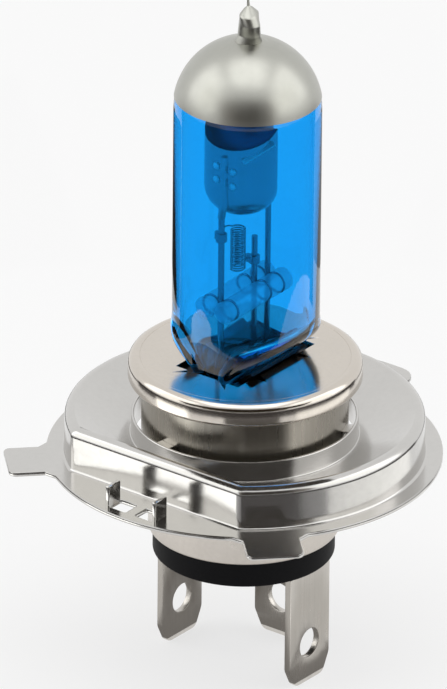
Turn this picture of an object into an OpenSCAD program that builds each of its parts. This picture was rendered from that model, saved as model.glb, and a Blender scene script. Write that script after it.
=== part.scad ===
// Twin-filament headlight bulb with a focused mounting ring and a three-blade base.
// The lamp axis is Z with the glass up. z = 0 is the face of the ring's brim that seats in the lamp.
// +Y points to the wide lug of the ring. All lengths are in millimetres.

/* [Glass] */
// Outside radius of the glass tube and its dome
glass_r = 8; // [7.6:0.1:8.6]
// Wall of the glass tube
glass_wall = 1; // [0.8:0.1:1.2]
// Height at which the straight tube begins
tube_low_z = 16.5; // [15.5:0.1:17]
// Height at which the dome begins
dome_z = 40.7; // [40.5:0.1:44]
// Height of the sealed tip above the dome
tip_rise = 4.9; // [3:0.1:5.2]
// Radius of the sealed tip at its foot
tip_foot_r = 1.25; // [1:0.05:1.6]
// Radius of the sealed tip at its round end
tip_end_r = 0.6; // [0.5:0.05:0.95]
// Width of the pinch along Y
pinch_w = 12.4; // [12:0.1:13]
// Thickness of the pinch along X
pinch_t = 4.5; // [4:0.1:5]
// Height of the pinch's lower end
pinch_low_z = 3; // [2:0.1:3.5]
// Height at which the pinch opens into the tube
pinch_top_z = 11.6; // [11.5:0.1:12]
// Height of the coated dome's lower edge
coat_edge_z = 42.2; // [41:0.1:44]
// Thickness of the coat on the dome
coat_t = 0.12; // [0.08:0.01:0.2]

/* [Inner frame] */
// Radius of the three inner posts
post_r = 0.33; // [0.28:0.01:0.4]
// Place of the common post along Y
common_y = -4.35; // [-4.6:0.05:-4.1]
// Place of the high-beam post along Y
high_y = 1.45; // [1.2:0.05:1.7]
// Place of the low-beam post along Y
low_y = 3.9; // [3.7:0.05:4.3]
// Height of the common post's top
common_top_z = 37.2; // [37.1:0.1:37.6]
// Height of the high-beam post's top
high_top_z = 25; // [24:0.1:26]
// Height of the low-beam post's top
low_top_z = 32.5; // [32.3:0.1:33]
// Height of the quartz bridge's axis
bridge_z = 18.8; // [18.3:0.1:19.5]
// Radius of each of the quartz bridge's two rods
bridge_r = 1.25; // [1.2:0.05:1.4]
// Distance of each rod's axis from the posts
bridge_x = 1.2; // [1.1:0.05:1.2]
// Length of the quartz bridge
bridge_l = 11.6; // [11:0.1:12.2]
// Width of a sealing foil
foil_w = 1.8; // [1.2:0.1:2]
// Thickness of a sealing foil
foil_t = 0.1; // [0.06:0.01:0.16]
// Height of the foils' lower ends
foil_low_z = 4.6; // [4:0.1:5]
// Height of the foils' upper ends
foil_top_z = 9; // [8:0.1:10]

/* [Low-beam shield] */
// Outside radius of the shield
shield_r = 4.05; // [3.9:0.05:4.3]
// Sheet of the shield
shield_t = 0.25; // [0.2:0.01:0.35]
// Height of the shield's floor
shield_low_z = 29.2; // [28.8:0.1:29.8]
// Height of the back edge of the shield's sloping lid
shield_top_z = 39.4; // [39:0.1:40.2]
// Radius of the bend between the shield's floor and wall
shield_bend_r = 3.2; // [2:0.1:3.4]
// Turn of the shield about its own axis, away from +Y
shield_turn = 14; // [10:1:16]
// Slope of the shield's lid, down from its back edge
lid_slope = 20; // [10:1:22]

/* [Filaments] */
// Radius of the filament wire
wire_r = 0.1; // [0.07:0.01:0.12]
// Radius of the coil at the middle of its wire
coil_r = 0.77; // [0.74:0.01:0.85]
// Rise of the coil for each turn
coil_pitch = 0.7; // [0.68:0.01:0.74]
// Whole turns of each coil
coil_turns = 7; // [5:1:7]
// Place of both coils along Y
coil_y = -1.5; // [-1.7:0.05:-1.3]
// Height of the high-beam coil's lower end
high_coil_z = 22.2; // [21.8:0.1:22.6]
// Height of the low-beam coil's lower end
low_coil_z = 31.6; // [31.2:0.1:32]
// Radius of a clip's sleeve round its post
clip_r = 0.62; // [0.55:0.01:0.68]
// Height of a clip
clip_h = 1; // [0.7:0.1:1.3]
// Thickness of a clip's arm
clip_arm_t = 0.4; // [0.3:0.05:0.5]

/* [Collar] */
// Distance of the collar's sleeve outside the shell below the ring
sleeve_step = 0.8; // [0.7:0.05:0.9]
// Sheet of the collar
collar_sheet = 0.6; // [0.5:0.05:0.7]
// Height of the sleeve's lower end
sleeve_low_z = 1.2; // [0.8:0.1:2]
// Overhang of the collar's rolled rim past the sleeve
rim_overhang = 1.5; // [1.35:0.05:1.7]
// Radius of the roll of the rim
rim_roll = 1.3; // [1:0.05:1.4]
// Height of the collar's top face
collar_top_z = 11.3; // [11.1:0.05:11.4]
// Half width along X of the opening for the pinch
opening_x = 4.2; // [3.9:0.1:4.6]
// Half length along Y of the opening for the pinch
opening_y = 6.8; // [6.6:0.1:7.2]
// Reach of the pointed slits at the opening's corners
slit_reach = 1.6; // [1:0.1:2]
// Sheet of the spring clip that grips the pinch
spring_sheet = 0.4; // [0.3:0.05:0.5]
// Length of the spring clip's tongues
tongue_l = 5.5; // [4:0.1:6]
// Width of the spring clip's tongues
tongue_w = 7.6; // [6:0.1:9]

/* [Mounting ring] */
// Radius of the brim
brim_r = 21.5; // [21:0.1:22]
// Sheet of the ring
ring_sheet = 0.5; // [0.4:0.05:0.6]
// Width of the brim round the centring hat
brim_w = 2; // [1.8:0.1:2.4]
// Height of the centring hat
hat_h = 4.8; // [4.5:0.1:5]
// Radius of the hat's shoulder
shoulder_r = 0.9; // [0.7:0.1:1.1]
// Radius of the fillet at the hat's foot
foot_r = 0.3; // [0.2:0.1:0.5]
// Distance of the hat's flat side inside the brim's edge
flat_inset = 5.7; // [5.4:0.1:6]
// Height of the neck's top
neck_top_z = 4.4; // [4.2:0.1:4.8]
// Height of the hat's dished plate where it meets the neck
dish_z = 2; // [1.8:0.1:2.4]
// Width of the ridge between the hat's shoulder and its dish
ridge_w = 0.2; // [0.1:0.05:0.4]
// Sheet of the neck
neck_sheet = 0.3; // [0.25:0.05:0.4]
// Gap between the neck and the sleeve inside it
neck_gap = 0.8; // [0.65:0.05:0.9]
// Width of the three weld pads between neck and sleeve
pad_w = 2; // [1.5:0.1:2.5]
// Width of the two narrow lugs
lug_w = 6.2; // [5.6:0.1:6.8]
// Length of the narrow lugs past the brim's edge
lug_l = 4.5; // [3.5:0.1:5]
// Turn of the narrow lugs away from -Y
lug_turn = 45; // [40:1:50]
// Width of the wide lug
wide_lug_w = 7.4; // [6.6:0.1:9]
// Length of the wide lug past the brim's edge
wide_lug_l = 5.1; // [3.5:0.1:5.5]
// Radius of the narrow lugs' corners
lug_corner_r = 0.8; // [0.4:0.1:1.2]
// Radius of the wide lug's corners
wide_corner_r = 2.4; // [1.6:0.1:3]
// Width along Y of a folded tab and of the window it leaves
tab_w = 2.1; // [1.8:0.1:2.4]
// Height of a folded tab above the brim
tab_h = 2.3; // [2:0.1:2.6]
// Distance of the tabs' outer faces from the lamp's plane of symmetry
tab_x = 3.4; // [3.2:0.1:4.4]
// Distance of the tabs' middle inside the brim's edge
tab_inset = 2.4; // [2.2:0.1:2.6]
// Width of the strip between the two windows
strip_w = 1.3; // [0.9:0.1:1.6]

/* [Base] */
// Outside radius of the shell below the ring
shell_r = 10.4; // [10.2:0.05:10.6]
// Sheet of the shell
shell_sheet = 0.5; // [0.4:0.05:0.6]
// Height of the shell's lower edge
shell_low_z = -8.95; // [-9.5:0.05:-8.5]
// Height of the shell's top inside the sleeve
shell_top_z = 4; // [3:0.1:4.5]
// Height at which the shell steps out to the sleeve
shell_step_z = 0.6; // [0.2:0.1:1]
// Height of the insulator's lower face
insulator_low_z = -11.85; // [-12.4:0.05:-11]
// Height of the insulator's upper face
insulator_top_z = -6.5; // [-7:0.1:-6]
// Width of a blade
blade_w = 7; // [6.3:0.1:7.8]
// Thickness of a blade
blade_t = 0.8; // [0.7:0.05:0.9]
// Height of the blades' lower ends
blade_low_z = -25.1; // [-26:0.1:-24]
// Distance of the two side blades inside the insulator's edge
side_blade_inset = 1.2; // [1.1:0.05:1.5]
// Distance of the cross blade inside the insulator's edge
cross_blade_inset = 2.9; // [2.3:0.1:3.3]
// Cut of a blade's lower corners along its width
blade_cut_w = 1.1; // [0.7:0.1:1.4]
// Cut of a blade's lower corners along its height
blade_cut_h = 2.2; // [1.5:0.1:3]
// Radius of the hole in a blade
blade_hole_r = 1.65; // [1.4:0.05:1.9]
// Height of the hole in a blade
blade_hole_z = -20.6; // [-21:0.1:-19.5]
// Width of a blade's stem inside the insulator
stem_w = 5; // [4:0.1:5.4]
// Rise of a blade's stem above the insulator
stem_rise = 1.5; // [1:0.1:2]
// Gap round a stem in its slot
slot_gap = 0.05; // [0.03:0.01:0.08]
// Radius of an outer lead wire
lead_r = 0.35; // [0.25:0.01:0.38]
// Height at which the outer leads turn towards their blades
lead_turn_z = -2; // [-3:0.1:-1]

/* [Hidden] */
$fn = 64;
hull_fn = 32;
eps = 0.01;
far = 60;
glass_in_r = glass_r - glass_wall;
dome_top_z = dome_z + glass_r;
tip_foot_z = dome_z + sqrt(glass_r * glass_r - tip_foot_r * tip_foot_r);
tip_ball_z = dome_top_z + tip_rise - tip_end_r;
pinch_corner_r = 0.9;
waist_share = 0.88;
bulb_floor_r = 3.4;
bulb_floor_z = pinch_top_z + glass_wall;
shield_y = common_y - post_r + shield_r - shield_t;
coil_h = coil_pitch * coil_turns;
coil_rings = 8;
wire_sides = 6;
arm_out = coil_r + 2 * wire_r;
sleeve_r = shell_r + sleeve_step;
rim_r = sleeve_r + rim_overhang;
rim_z = collar_top_z - rim_roll;
spring_top_z = collar_top_z - collar_sheet;
sleeve_in_r = sleeve_r - collar_sheet;
spring_margin = [1.4, 0.6];
spring_frame = [opening_x, opening_y] + spring_margin;
slit_half_w = slit_reach / 3;
slit_turn = 45;
window_cut_h = 4 * ring_sheet;
neck_in_r = sleeve_r + neck_gap;
neck_r = neck_in_r + neck_sheet;
// The dish's cone, from inside the neck's wall to above the ridge
dish_low_r = neck_in_r + neck_sheet / 2;
hat_r = brim_r - brim_w;
flat_y = brim_r - flat_inset;
ridge_inset = shoulder_r + ridge_w;
dish_run = hat_r - ridge_inset - dish_low_r;
dish_rise = hat_h - dish_z;
dish_over = 1 + ring_sheet / dish_rise;
tab_y = brim_r - tab_inset;
lug_reach = brim_r + lug_l;
wide_lug_reach = brim_r + wide_lug_l;
insulator_r = shell_r - shell_sheet;
side_blade_x = insulator_r - side_blade_inset;
cross_blade_y = insulator_r - cross_blade_inset;
stem_top_z = insulator_top_z + stem_rise;
pad_turns = [20, 140, 260];
pad_slot_w = 0.5;
pad_slot_y = (pad_w + pad_slot_w) / 2;
pad_low_z = dish_z;
plane_x = [0, 90, 0];
level_lead_share = 0.8;
level_lead_r = lead_r * level_lead_share;
posts_y = [common_y, high_y, low_y];
feet = [[-side_blade_x, 0], [side_blade_x, 0], [0, cross_blade_y]];

// Vectors and swept tubes
function unit(v) = v / norm(v);
function tangent(path, i) = unit(path[min(i + 1, len(path) - 1)] - path[max(i - 1, 0)]);

// A tube of few sides along a path that never runs straight up
module swept_tube(path, r) {
    rings = len(path);
    points = [
        for (i = [0 : rings - 1])
            let (along = tangent(path, i), side = unit(cross([0, 0, 1], along)), up = cross(along, side))
                for (k = [0 : wire_sides - 1])
                    let (turn = 360 * k / wire_sides)
                        path[i] + r * (cos(turn) * side + sin(turn) * up)
    ];
    walls = [
        for (i = [0 : rings - 2], k = [0 : wire_sides - 1])
            let (a = i * wire_sides + k, b = i * wire_sides + (k + 1) % wire_sides)
                each [[a, b, a + wire_sides], [b, b + wire_sides, a + wire_sides]]
    ];
    last = (rings - 1) * wire_sides;
    caps = [
        for (k = [1 : wire_sides - 2])
            each [[0, k + 1, k], [last, last + k, last + k + 1]]
    ];
    polyhedron(points, [for (face = concat(walls, caps)) [face[2], face[1], face[0]]]);
}

// A coil with a level lead from its foot to +Y and one from its top to -Y
function coil_path(low_z, from_y, to_y) = concat(
    [[-coil_r, from_y, low_z]],
    [
        for (i = [0 : coil_turns * coil_rings])
            let (turn = 180 + 360 * i / coil_rings)
                [coil_r * cos(turn), coil_y + coil_r * sin(turn), low_z + coil_pitch * i / coil_rings]
    ],
    [[-coil_r, to_y, low_z + coil_h]]
);
function least_gap(path) = min([
    for (i = [0 : len(path) - 1])
        for (j = [i + coil_rings - 2 : 1 : len(path) - 1])
            norm(path[i] - path[j])
]) - 2 * wire_r;
high_path = coil_path(high_coil_z, high_y - clip_arm_t, common_y + clip_arm_t);
low_path = coil_path(low_coil_z, low_y - clip_arm_t, common_y + clip_arm_t);
echo(high_beam_filament_least_gap = least_gap(high_path));
echo(low_beam_filament_least_gap = least_gap(low_path));

// The outline of the sealed dome and tip, grown by a skin
module dome_outline(skin) {
    intersection() {
        translate([0, dome_z]) circle(glass_r + skin);
        translate([0, dome_z]) square([far, far]);
    }
    polygon([
        [0, tip_foot_z - glass_wall / 2],
        [tip_foot_r + skin, tip_foot_z - glass_wall / 2],
        [tip_foot_r + skin, tip_foot_z],
        [tip_end_r + skin, tip_ball_z],
        [0, tip_ball_z]
    ]);
    intersection() {
        translate([0, tip_ball_z]) circle(tip_end_r + skin);
        translate([0, tip_ball_z]) square([far, far]);
    }
}

// The pinch's flat section
module pinch_section() {
    square([pinch_t, pinch_w - 2 * pinch_corner_r], center = true);
    square([pinch_t - 2 * pinch_corner_r, pinch_w], center = true);
    for (x = [-1, 1], y = [-1, 1])
        translate([x * (pinch_t / 2 - pinch_corner_r), y * (pinch_w / 2 - pinch_corner_r)])
            circle(pinch_corner_r, $fn = hull_fn);
}

module glass_envelope() {
    color("deepskyblue", 0.6) difference() {
        union() {
            rotate_extrude() dome_outline(0);
            translate([0, 0, tube_low_z]) cylinder(r = glass_r, h = dome_z - tube_low_z);
            hull() {
                translate([0, 0, tube_low_z]) cylinder(r = glass_r, h = eps, $fn = 2 * hull_fn);
                translate([0, 0, (tube_low_z + pinch_top_z) / 2 - eps])
                    scale(waist_share) cylinder(r = glass_r, h = eps, $fn = 2 * hull_fn);
                translate([0, 0, pinch_top_z]) linear_extrude(eps) pinch_section();
            }
            translate([0, 0, pinch_low_z]) linear_extrude(pinch_top_z - pinch_low_z) pinch_section();
        }
        translate([0, 0, dome_z]) sphere(glass_in_r);
        translate([0, 0, tube_low_z]) cylinder(r = glass_in_r, h = dome_z - tube_low_z);
        hull() {
            translate([0, 0, tube_low_z]) cylinder(r = glass_in_r, h = eps, $fn = 2 * hull_fn);
            translate([0, 0, bulb_floor_z]) scale([1, pinch_w / pinch_t / 2, 1])
                cylinder(r = bulb_floor_r / 2, h = eps, $fn = hull_fn);
        }
        for (y = posts_y) {
            translate([0, y, foil_top_z]) cylinder(r = post_r, h = tube_low_z - foil_top_z);
            translate([0, y, pinch_low_z - eps]) cylinder(r = lead_r, h = foil_low_z - pinch_low_z + eps);
            foil_at(y);
        }
    }
}

module dome_coating() {
    color("silver") rotate_extrude() difference() {
        intersection() {
            dome_outline(coat_t);
            translate([0, coat_edge_z]) square([far, far]);
        }
        dome_outline(0);
    }
}

module quartz_bridge() {
    color("lightblue", 0.6) difference() {
        for (side = [-1, 1])
            translate([side * bridge_x, bridge_l / 2, bridge_z]) rotate([90, 0, 0])
                cylinder(r = bridge_r, h = bridge_l);
        for (y = posts_y)
            translate([0, y, bridge_z - 2 * bridge_r]) cylinder(r = post_r, h = 4 * bridge_r);
    }
}

// A post from its foil up to a height
module post(y, top_z) {
    color("silver") translate([0, y, foil_top_z]) cylinder(r = post_r, h = top_z - foil_top_z);
}
module common_post() { post(common_y, common_top_z); }
module high_beam_post() { post(high_y, high_top_z); }
module low_beam_post() { post(low_y, low_top_z); }

// The shield's half section, from the lamp axis outwards, inset by its sheet
module shield_half(inset) {
    wall = shield_r - inset;
    bend = shield_bend_r - inset;
    low = shield_low_z + inset;
    translate([0, low + bend]) square([wall, shield_top_z - low - bend + shield_r]);
    translate([0, low]) square([wall - bend, bend]);
    intersection() {
        translate([wall - bend, low + bend]) circle(bend);
        translate([0, low]) square([wall, bend]);
    }
}

// The space of the half cup under its sloping lid, inset by its sheet
module shield_space(inset) {
    translate([0, shield_y, 0]) rotate(shield_turn) intersection() {
        rotate(180) rotate_extrude(angle = 180) shield_half(inset);
        translate([0, 0, shield_top_z]) rotate([lid_slope, 0, 0])
            translate([-far / 2, -far / 2, -far - inset]) cube(far);
    }
}
module low_beam_shield() {
    color("steelblue") difference() {
        shield_space(0);
        shield_space(shield_t);
        translate([0, common_y, 0]) cylinder(r = post_r, h = common_top_z);
    }
}

module high_beam_filament() { color("dimgray") swept_tube(high_path, wire_r); }
module low_beam_filament() { color("dimgray") swept_tube(low_path, wire_r); }

// A clip round a post, with an arm whose face meets the end of a filament
module clip(y, z, facing) {
    color("gainsboro") translate([0, y, z - clip_h / 2]) difference() {
        union() {
            cylinder(r = clip_r, h = clip_h);
            translate([-arm_out, facing > 0 ? 0 : -clip_arm_t, 0])
                cube([arm_out, clip_arm_t, clip_h]);
        }
        translate([0, 0, -eps]) cylinder(r = post_r, h = clip_h + 2 * eps);
    }
}
module high_beam_upper_clip() { clip(common_y, high_coil_z + coil_h, 1); }
module high_beam_lower_clip() { clip(high_y, high_coil_z, -1); }
// The clip inside the shield is only a half sleeve, on the post's open side
module low_beam_upper_clip() {
    intersection() {
        clip(common_y, low_coil_z + coil_h, 1);
        translate([-far / 2, common_y, 0]) cube(far);
    }
}
module low_beam_lower_clip() { clip(low_y, low_coil_z, -1); }

// A sealing foil in the pinch
module foil_at(y) {
    translate([-foil_t / 2, y - foil_w / 2, foil_low_z]) cube([foil_t, foil_w, foil_top_z - foil_low_z]);
}
module common_foil() { color("gray") foil_at(common_y); }
module high_beam_foil() { color("gray") foil_at(high_y); }
module low_beam_foil() { color("gray") foil_at(low_y); }

// An outer lead: an upright below its foil, a thinner level run and an upright on its blade's stem
module lead(y, foot) {
    run = foot - [0, y];
    color("silver") {
        translate([0, y, lead_turn_z - lead_r]) cylinder(r = lead_r, h = foil_low_z - lead_turn_z + lead_r);
        translate([0, y, lead_turn_z]) rotate([0, 90, atan2(run[1], run[0])])
            cylinder(r = level_lead_r, h = norm(run));
        translate([foot[0], foot[1], stem_top_z]) cylinder(r = lead_r, h = lead_turn_z + lead_r - stem_top_z);
    }
}
module common_lead() { lead(common_y, feet[0]); }
module high_beam_lead() { lead(high_y, feet[1]); }
module low_beam_lead() { lead(low_y, feet[2]); }

// One pointed slit, from the edge of the opening outwards
module slit(x, y, out_x, out_y) {
    polygon([
        [x + out_y * slit_half_w, y - out_x * slit_half_w],
        [x - out_y * slit_half_w, y + out_x * slit_half_w],
        [x + out_x * slit_reach, y + out_y * slit_reach]
    ]);
}
module pinch_opening() {
    square(2 * [opening_x, opening_y], center = true);
    for (x = [-1, 1], y = [-1, 1]) {
        slit(x * opening_x / 2, y * (opening_y - eps), x * sin(slit_turn), y * cos(slit_turn));
        slit(x * (opening_x - eps), y * opening_y / 2, x * cos(slit_turn), y * sin(slit_turn));
    }
}

module collar() {
    color("silver") difference() {
        rotate_extrude() {
            translate([rim_r - rim_roll, rim_z]) circle(rim_roll);
            translate([0, spring_top_z]) square([rim_r - rim_roll, collar_sheet]);
            translate([sleeve_in_r, sleeve_low_z]) square([collar_sheet, rim_z - sleeve_low_z]);
        }
        translate([0, 0, spring_top_z - rim_roll]) linear_extrude(far) pinch_opening();
    }
}

module pinch_spring() {
    color("silver") {
        translate([0, 0, spring_top_z - spring_sheet]) linear_extrude(spring_sheet) difference() {
            square(2 * spring_frame, center = true);
            square([pinch_t, pinch_w], center = true);
        }
        for (side = [-1, 1])
            translate([side * (pinch_t + spring_sheet) / 2, 0, spring_top_z - tongue_l / 2])
                cube([spring_sheet, tongue_w, tongue_l], center = true);
    }
}

// The hat's half section, from the axis outwards, inset by the ring's sheet
module hat_half(inset) {
    shoulder = shoulder_r - inset;
    wall = hat_r - inset;
    top = hat_h - inset;
    translate([0, -2 * ring_sheet]) square([wall, top - shoulder + 2 * ring_sheet]);
    square([wall - shoulder, top]);
    translate([wall - shoulder, top - shoulder]) circle(shoulder);
}

// The section of the space behind the hat's flat side, as (y, z)
module flat_half(inset) {
    shoulder = shoulder_r - inset;
    wall = -flat_y + inset;
    top = hat_h - inset;
    translate([wall, -2 * ring_sheet]) square([far, top - shoulder + 2 * ring_sheet]);
    translate([wall + shoulder, -2 * ring_sheet]) square([far, top + 2 * ring_sheet]);
    translate([wall + shoulder, top - shoulder]) circle(shoulder);
}
module hat_solid(inset) {
    intersection() {
        rotate_extrude() hat_half(inset);
        translate([-far / 2, 0, 0]) rotate([90, 0, 90]) linear_extrude(far) flat_half(inset);
    }
}

// The dish between the ridge and the neck, sunk by the ring's sheet for its underside
module dish(sunk) {
    intersection() {
        translate([0, 0, dish_z - sunk])
            cylinder(r1 = dish_low_r, r2 = dish_low_r + dish_run * dish_over, h = dish_rise * dish_over);
        translate([-far / 2, ridge_inset - flat_y - sunk, 0]) cube(far);
    }
}

// A lug's outline along +X, from the brim out to its reach
module lug_outline(w, reach, corner_r) {
    inner = reach - corner_r;
    translate([hat_r, -w / 2]) square([inner - hat_r, w]);
    translate([hat_r, -w / 2 + corner_r]) square([reach - hat_r, w - 2 * corner_r]);
    for (side = [-1, 1])
        translate([inner, side * (w / 2 - corner_r)]) circle(corner_r);
}
module brim_outline() {
    circle(brim_r);
    rotate(90) lug_outline(wide_lug_w, wide_lug_reach, wide_corner_r);
    for (side = [-1, 1])
        rotate(-90 + side * lug_turn) lug_outline(lug_w, lug_reach, lug_corner_r);
}

// The fillet round the hat's foot, on its round side only
module hat_foot() {
    intersection() {
        rotate_extrude() difference() {
            translate([hat_r - ring_sheet / 2, 0]) square([foot_r + ring_sheet / 2, foot_r]);
            translate([hat_r + foot_r, foot_r]) circle(foot_r);
        }
        translate([-far, -flat_y, -far]) cube(2 * far);
    }
}

module mounting_ring() {
    color("silver") {
        difference() {
            union() {
                translate([0, 0, -ring_sheet]) linear_extrude(ring_sheet) brim_outline();
                difference() {
                    intersection() {
                        hat_solid(0);
                        translate([0, 0, -ring_sheet]) cylinder(r = far, h = far);
                    }
                    dish(0);
                }
                hat_foot();
                cylinder(r = neck_r, h = neck_top_z);
            }
            difference() {
                hat_solid(ring_sheet);
                dish(ring_sheet);
            }
            translate([0, 0, -far / 2]) cylinder(r = neck_in_r, h = far);
            for (side = [-1, 1])
                translate([side * (strip_w / 2 + tab_x - ring_sheet) / 2, -tab_y, 0])
                    cube([tab_x - ring_sheet - strip_w / 2, tab_w, window_cut_h], center = true);
            for (turn = pad_turns, side = [-1, 1])
                rotate(turn)
                    translate([neck_in_r - neck_sheet, side * pad_slot_y - pad_slot_w / 2, pad_low_z])
                        cube([3 * neck_sheet, pad_slot_w, far]);
        }
        for (side = [-1, 1])
            translate([side * (tab_x - ring_sheet / 2), -tab_y, (tab_h - ring_sheet) / 2])
                cube([ring_sheet, tab_w, tab_h + ring_sheet], center = true);
        for (turn = pad_turns)
            difference() {
                rotate(turn) translate([sleeve_r - neck_gap, -pad_w / 2, pad_low_z])
                    cube([2 * neck_gap + neck_sheet / 2, pad_w, neck_top_z - pad_low_z]);
                cylinder(r = sleeve_r, h = far);
            }
    }
}

module base_shell() {
    color("silver") rotate_extrude() {
        translate([shell_r - shell_sheet, shell_low_z]) square([shell_sheet, shell_step_z - shell_low_z]);
        translate([shell_r - shell_sheet, shell_step_z])
            square([sleeve_in_r - shell_r + shell_sheet, shell_sheet]);
        translate([sleeve_in_r - shell_sheet, shell_step_z])
            square([shell_sheet, shell_top_z - shell_step_z]);
    }
}

// The outline of a blade as (width, z)
module blade_outline() {
    difference() {
        polygon([
            [-blade_w / 2, insulator_low_z],
            [-blade_w / 2, blade_low_z + blade_cut_h],
            [-blade_w / 2 + blade_cut_w, blade_low_z],
            [blade_w / 2 - blade_cut_w, blade_low_z],
            [blade_w / 2, blade_low_z + blade_cut_h],
            [blade_w / 2, insulator_low_z],
            [stem_w / 2, insulator_low_z],
            [stem_w / 2, stem_top_z],
            [-stem_w / 2, stem_top_z],
            [-stem_w / 2, insulator_low_z]
        ]);
        translate([0, blade_hole_z]) circle(blade_hole_r);
    }
}

// A blade at its foot's place, turned about Z
module blade(foot, turn) {
    color("silver") translate([foot[0], foot[1], 0]) rotate([90, 0, turn])
        translate([0, 0, -blade_t / 2]) linear_extrude(blade_t) blade_outline();
}
module common_blade() { blade(feet[0], 90); }
module high_beam_blade() { blade(feet[1], 90); }
module low_beam_blade() { blade(feet[2], 0); }

module base_insulator() {
    color("black") difference() {
        translate([0, 0, insulator_low_z]) cylinder(r = insulator_r, h = insulator_top_z - insulator_low_z);
        for (i = [0 : len(feet) - 1])
            translate([feet[i][0], feet[i][1], insulator_low_z])
                rotate(i < 2 ? 90 : 0)
                    cube([stem_w + 2 * slot_gap, blade_t + 2 * slot_gap, far], center = true);
    }
}

glass_envelope();
dome_coating();
quartz_bridge();
common_post();
high_beam_post();
low_beam_post();
low_beam_shield();
low_beam_filament();
high_beam_filament();
high_beam_upper_clip();
high_beam_lower_clip();
low_beam_upper_clip();
low_beam_lower_clip();
common_foil();
high_beam_foil();
low_beam_foil();
common_lead();
high_beam_lead();
low_beam_lead();
collar();
pinch_spring();
mounting_ring();
base_shell();
base_insulator();
common_blade();
high_beam_blade();
low_beam_blade();
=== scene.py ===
"""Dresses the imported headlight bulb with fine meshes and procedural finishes, on a pale studio floor."""
import logging
import math
from dataclasses import dataclass, field
from enum import Enum
from typing import Optional, Sequence, Union

import bmesh
import bpy
from mathutils import Matrix, Vector


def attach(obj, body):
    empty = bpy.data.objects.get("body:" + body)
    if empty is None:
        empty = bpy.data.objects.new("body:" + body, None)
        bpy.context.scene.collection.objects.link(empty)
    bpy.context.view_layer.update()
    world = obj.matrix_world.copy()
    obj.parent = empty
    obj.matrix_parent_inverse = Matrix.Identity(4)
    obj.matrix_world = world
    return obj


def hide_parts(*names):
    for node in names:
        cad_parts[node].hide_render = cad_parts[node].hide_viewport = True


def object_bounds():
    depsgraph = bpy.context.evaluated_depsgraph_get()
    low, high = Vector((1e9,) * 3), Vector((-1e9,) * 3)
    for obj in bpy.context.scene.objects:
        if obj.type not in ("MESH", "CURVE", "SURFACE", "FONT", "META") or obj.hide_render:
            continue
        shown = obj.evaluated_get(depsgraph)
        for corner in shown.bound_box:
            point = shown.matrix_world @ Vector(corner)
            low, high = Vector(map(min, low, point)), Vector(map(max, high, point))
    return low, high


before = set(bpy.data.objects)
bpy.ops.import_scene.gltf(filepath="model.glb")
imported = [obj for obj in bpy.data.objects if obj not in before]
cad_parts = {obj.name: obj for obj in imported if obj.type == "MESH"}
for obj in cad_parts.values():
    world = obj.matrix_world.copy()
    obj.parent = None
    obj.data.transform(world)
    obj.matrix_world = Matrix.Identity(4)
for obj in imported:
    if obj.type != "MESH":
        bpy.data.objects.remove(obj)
CAD_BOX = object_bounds()

LOG = logging.getLogger("headlight_bulb")
MM = 0.001
TURN = 2 * math.pi
ROUND_STEPS = 128
ARC_STEPS = 6
FINE_STEPS = 48
WELD = 1e-7
COATED = "coated"
LEVEL = 0.99999
SHARP_ANGLE = math.radians(38)
SQUARE_ANGLE = math.radians(60)
ROUND = 2
NOISE_DETAIL = 3.0
NOISE_MIDDLE = 0.5

Point = tuple[float, float]
Corner = tuple[float, float, float]
Colour = tuple[float, float, float, float]
Mesh = bmesh.types.BMesh


class Slot(Enum):
    """The record's material slots."""

    BLUE_GLASS = "blue_glass"
    DOME_COAT = "dome_coat"
    CLEAR_QUARTZ = "clear_quartz"
    POST_WIRE = "post_wire"
    SHIELD_SHEET = "shield_sheet"
    TUNGSTEN = "tungsten"
    SEAL_FOIL = "seal_foil"
    LEAD_WIRE = "lead_wire"
    COLLAR_STEEL = "collar_steel"
    SPRING_STEEL = "spring_steel"
    RING_STEEL = "ring_steel"
    SHELL_STEEL = "shell_steel"
    BLACK_INSULATOR = "black_insulator"
    BLADE_METAL = "blade_metal"


class Grain(Enum):
    """How far the grain of a finish is stretched along X, Y and Z, as a share of its fineness."""

    SPECKLED = (1.0, 1.0, 1.0)
    UPRIGHT = (1.0, 1.0, 0.02)


class Value:
    """A shader socket whose operators add Math nodes to its graph."""

    def __init__(self, graph: "Graph", socket: bpy.types.NodeSocket) -> None:
        """Keeps the graph and the output socket."""
        self.graph = graph
        self.socket = socket

    def _math(self, operation: str, first: "Number", second: "Number") -> "Value":
        """Adds one Math node.

        Args:
            operation: the Math node's operation.
            first: the upper input.
            second: the lower input.

        Returns:
            The node's output.
        """
        return self.graph.node("ShaderNodeMath", {"operation": operation}, {0: first, 1: second})

    def __add__(self, other: "Number") -> "Value":
        """Adds."""
        return self._math("ADD", self, other)

    def __radd__(self, other: "Number") -> "Value":
        """Adds, reflected."""
        return self._math("ADD", other, self)

    def __sub__(self, other: "Number") -> "Value":
        """Subtracts."""
        return self._math("SUBTRACT", self, other)

    def __rsub__(self, other: "Number") -> "Value":
        """Subtracts, reflected."""
        return self._math("SUBTRACT", other, self)

    def __mul__(self, other: "Number") -> "Value":
        """Multiplies."""
        return self._math("MULTIPLY", self, other)

    def __rmul__(self, other: "Number") -> "Value":
        """Multiplies, reflected."""
        return self._math("MULTIPLY", other, self)

    def larger(self, other: "Number") -> "Value":
        """The larger of two values."""
        return self._math("MAXIMUM", self, other)


Number = Union[Value, float]


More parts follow.
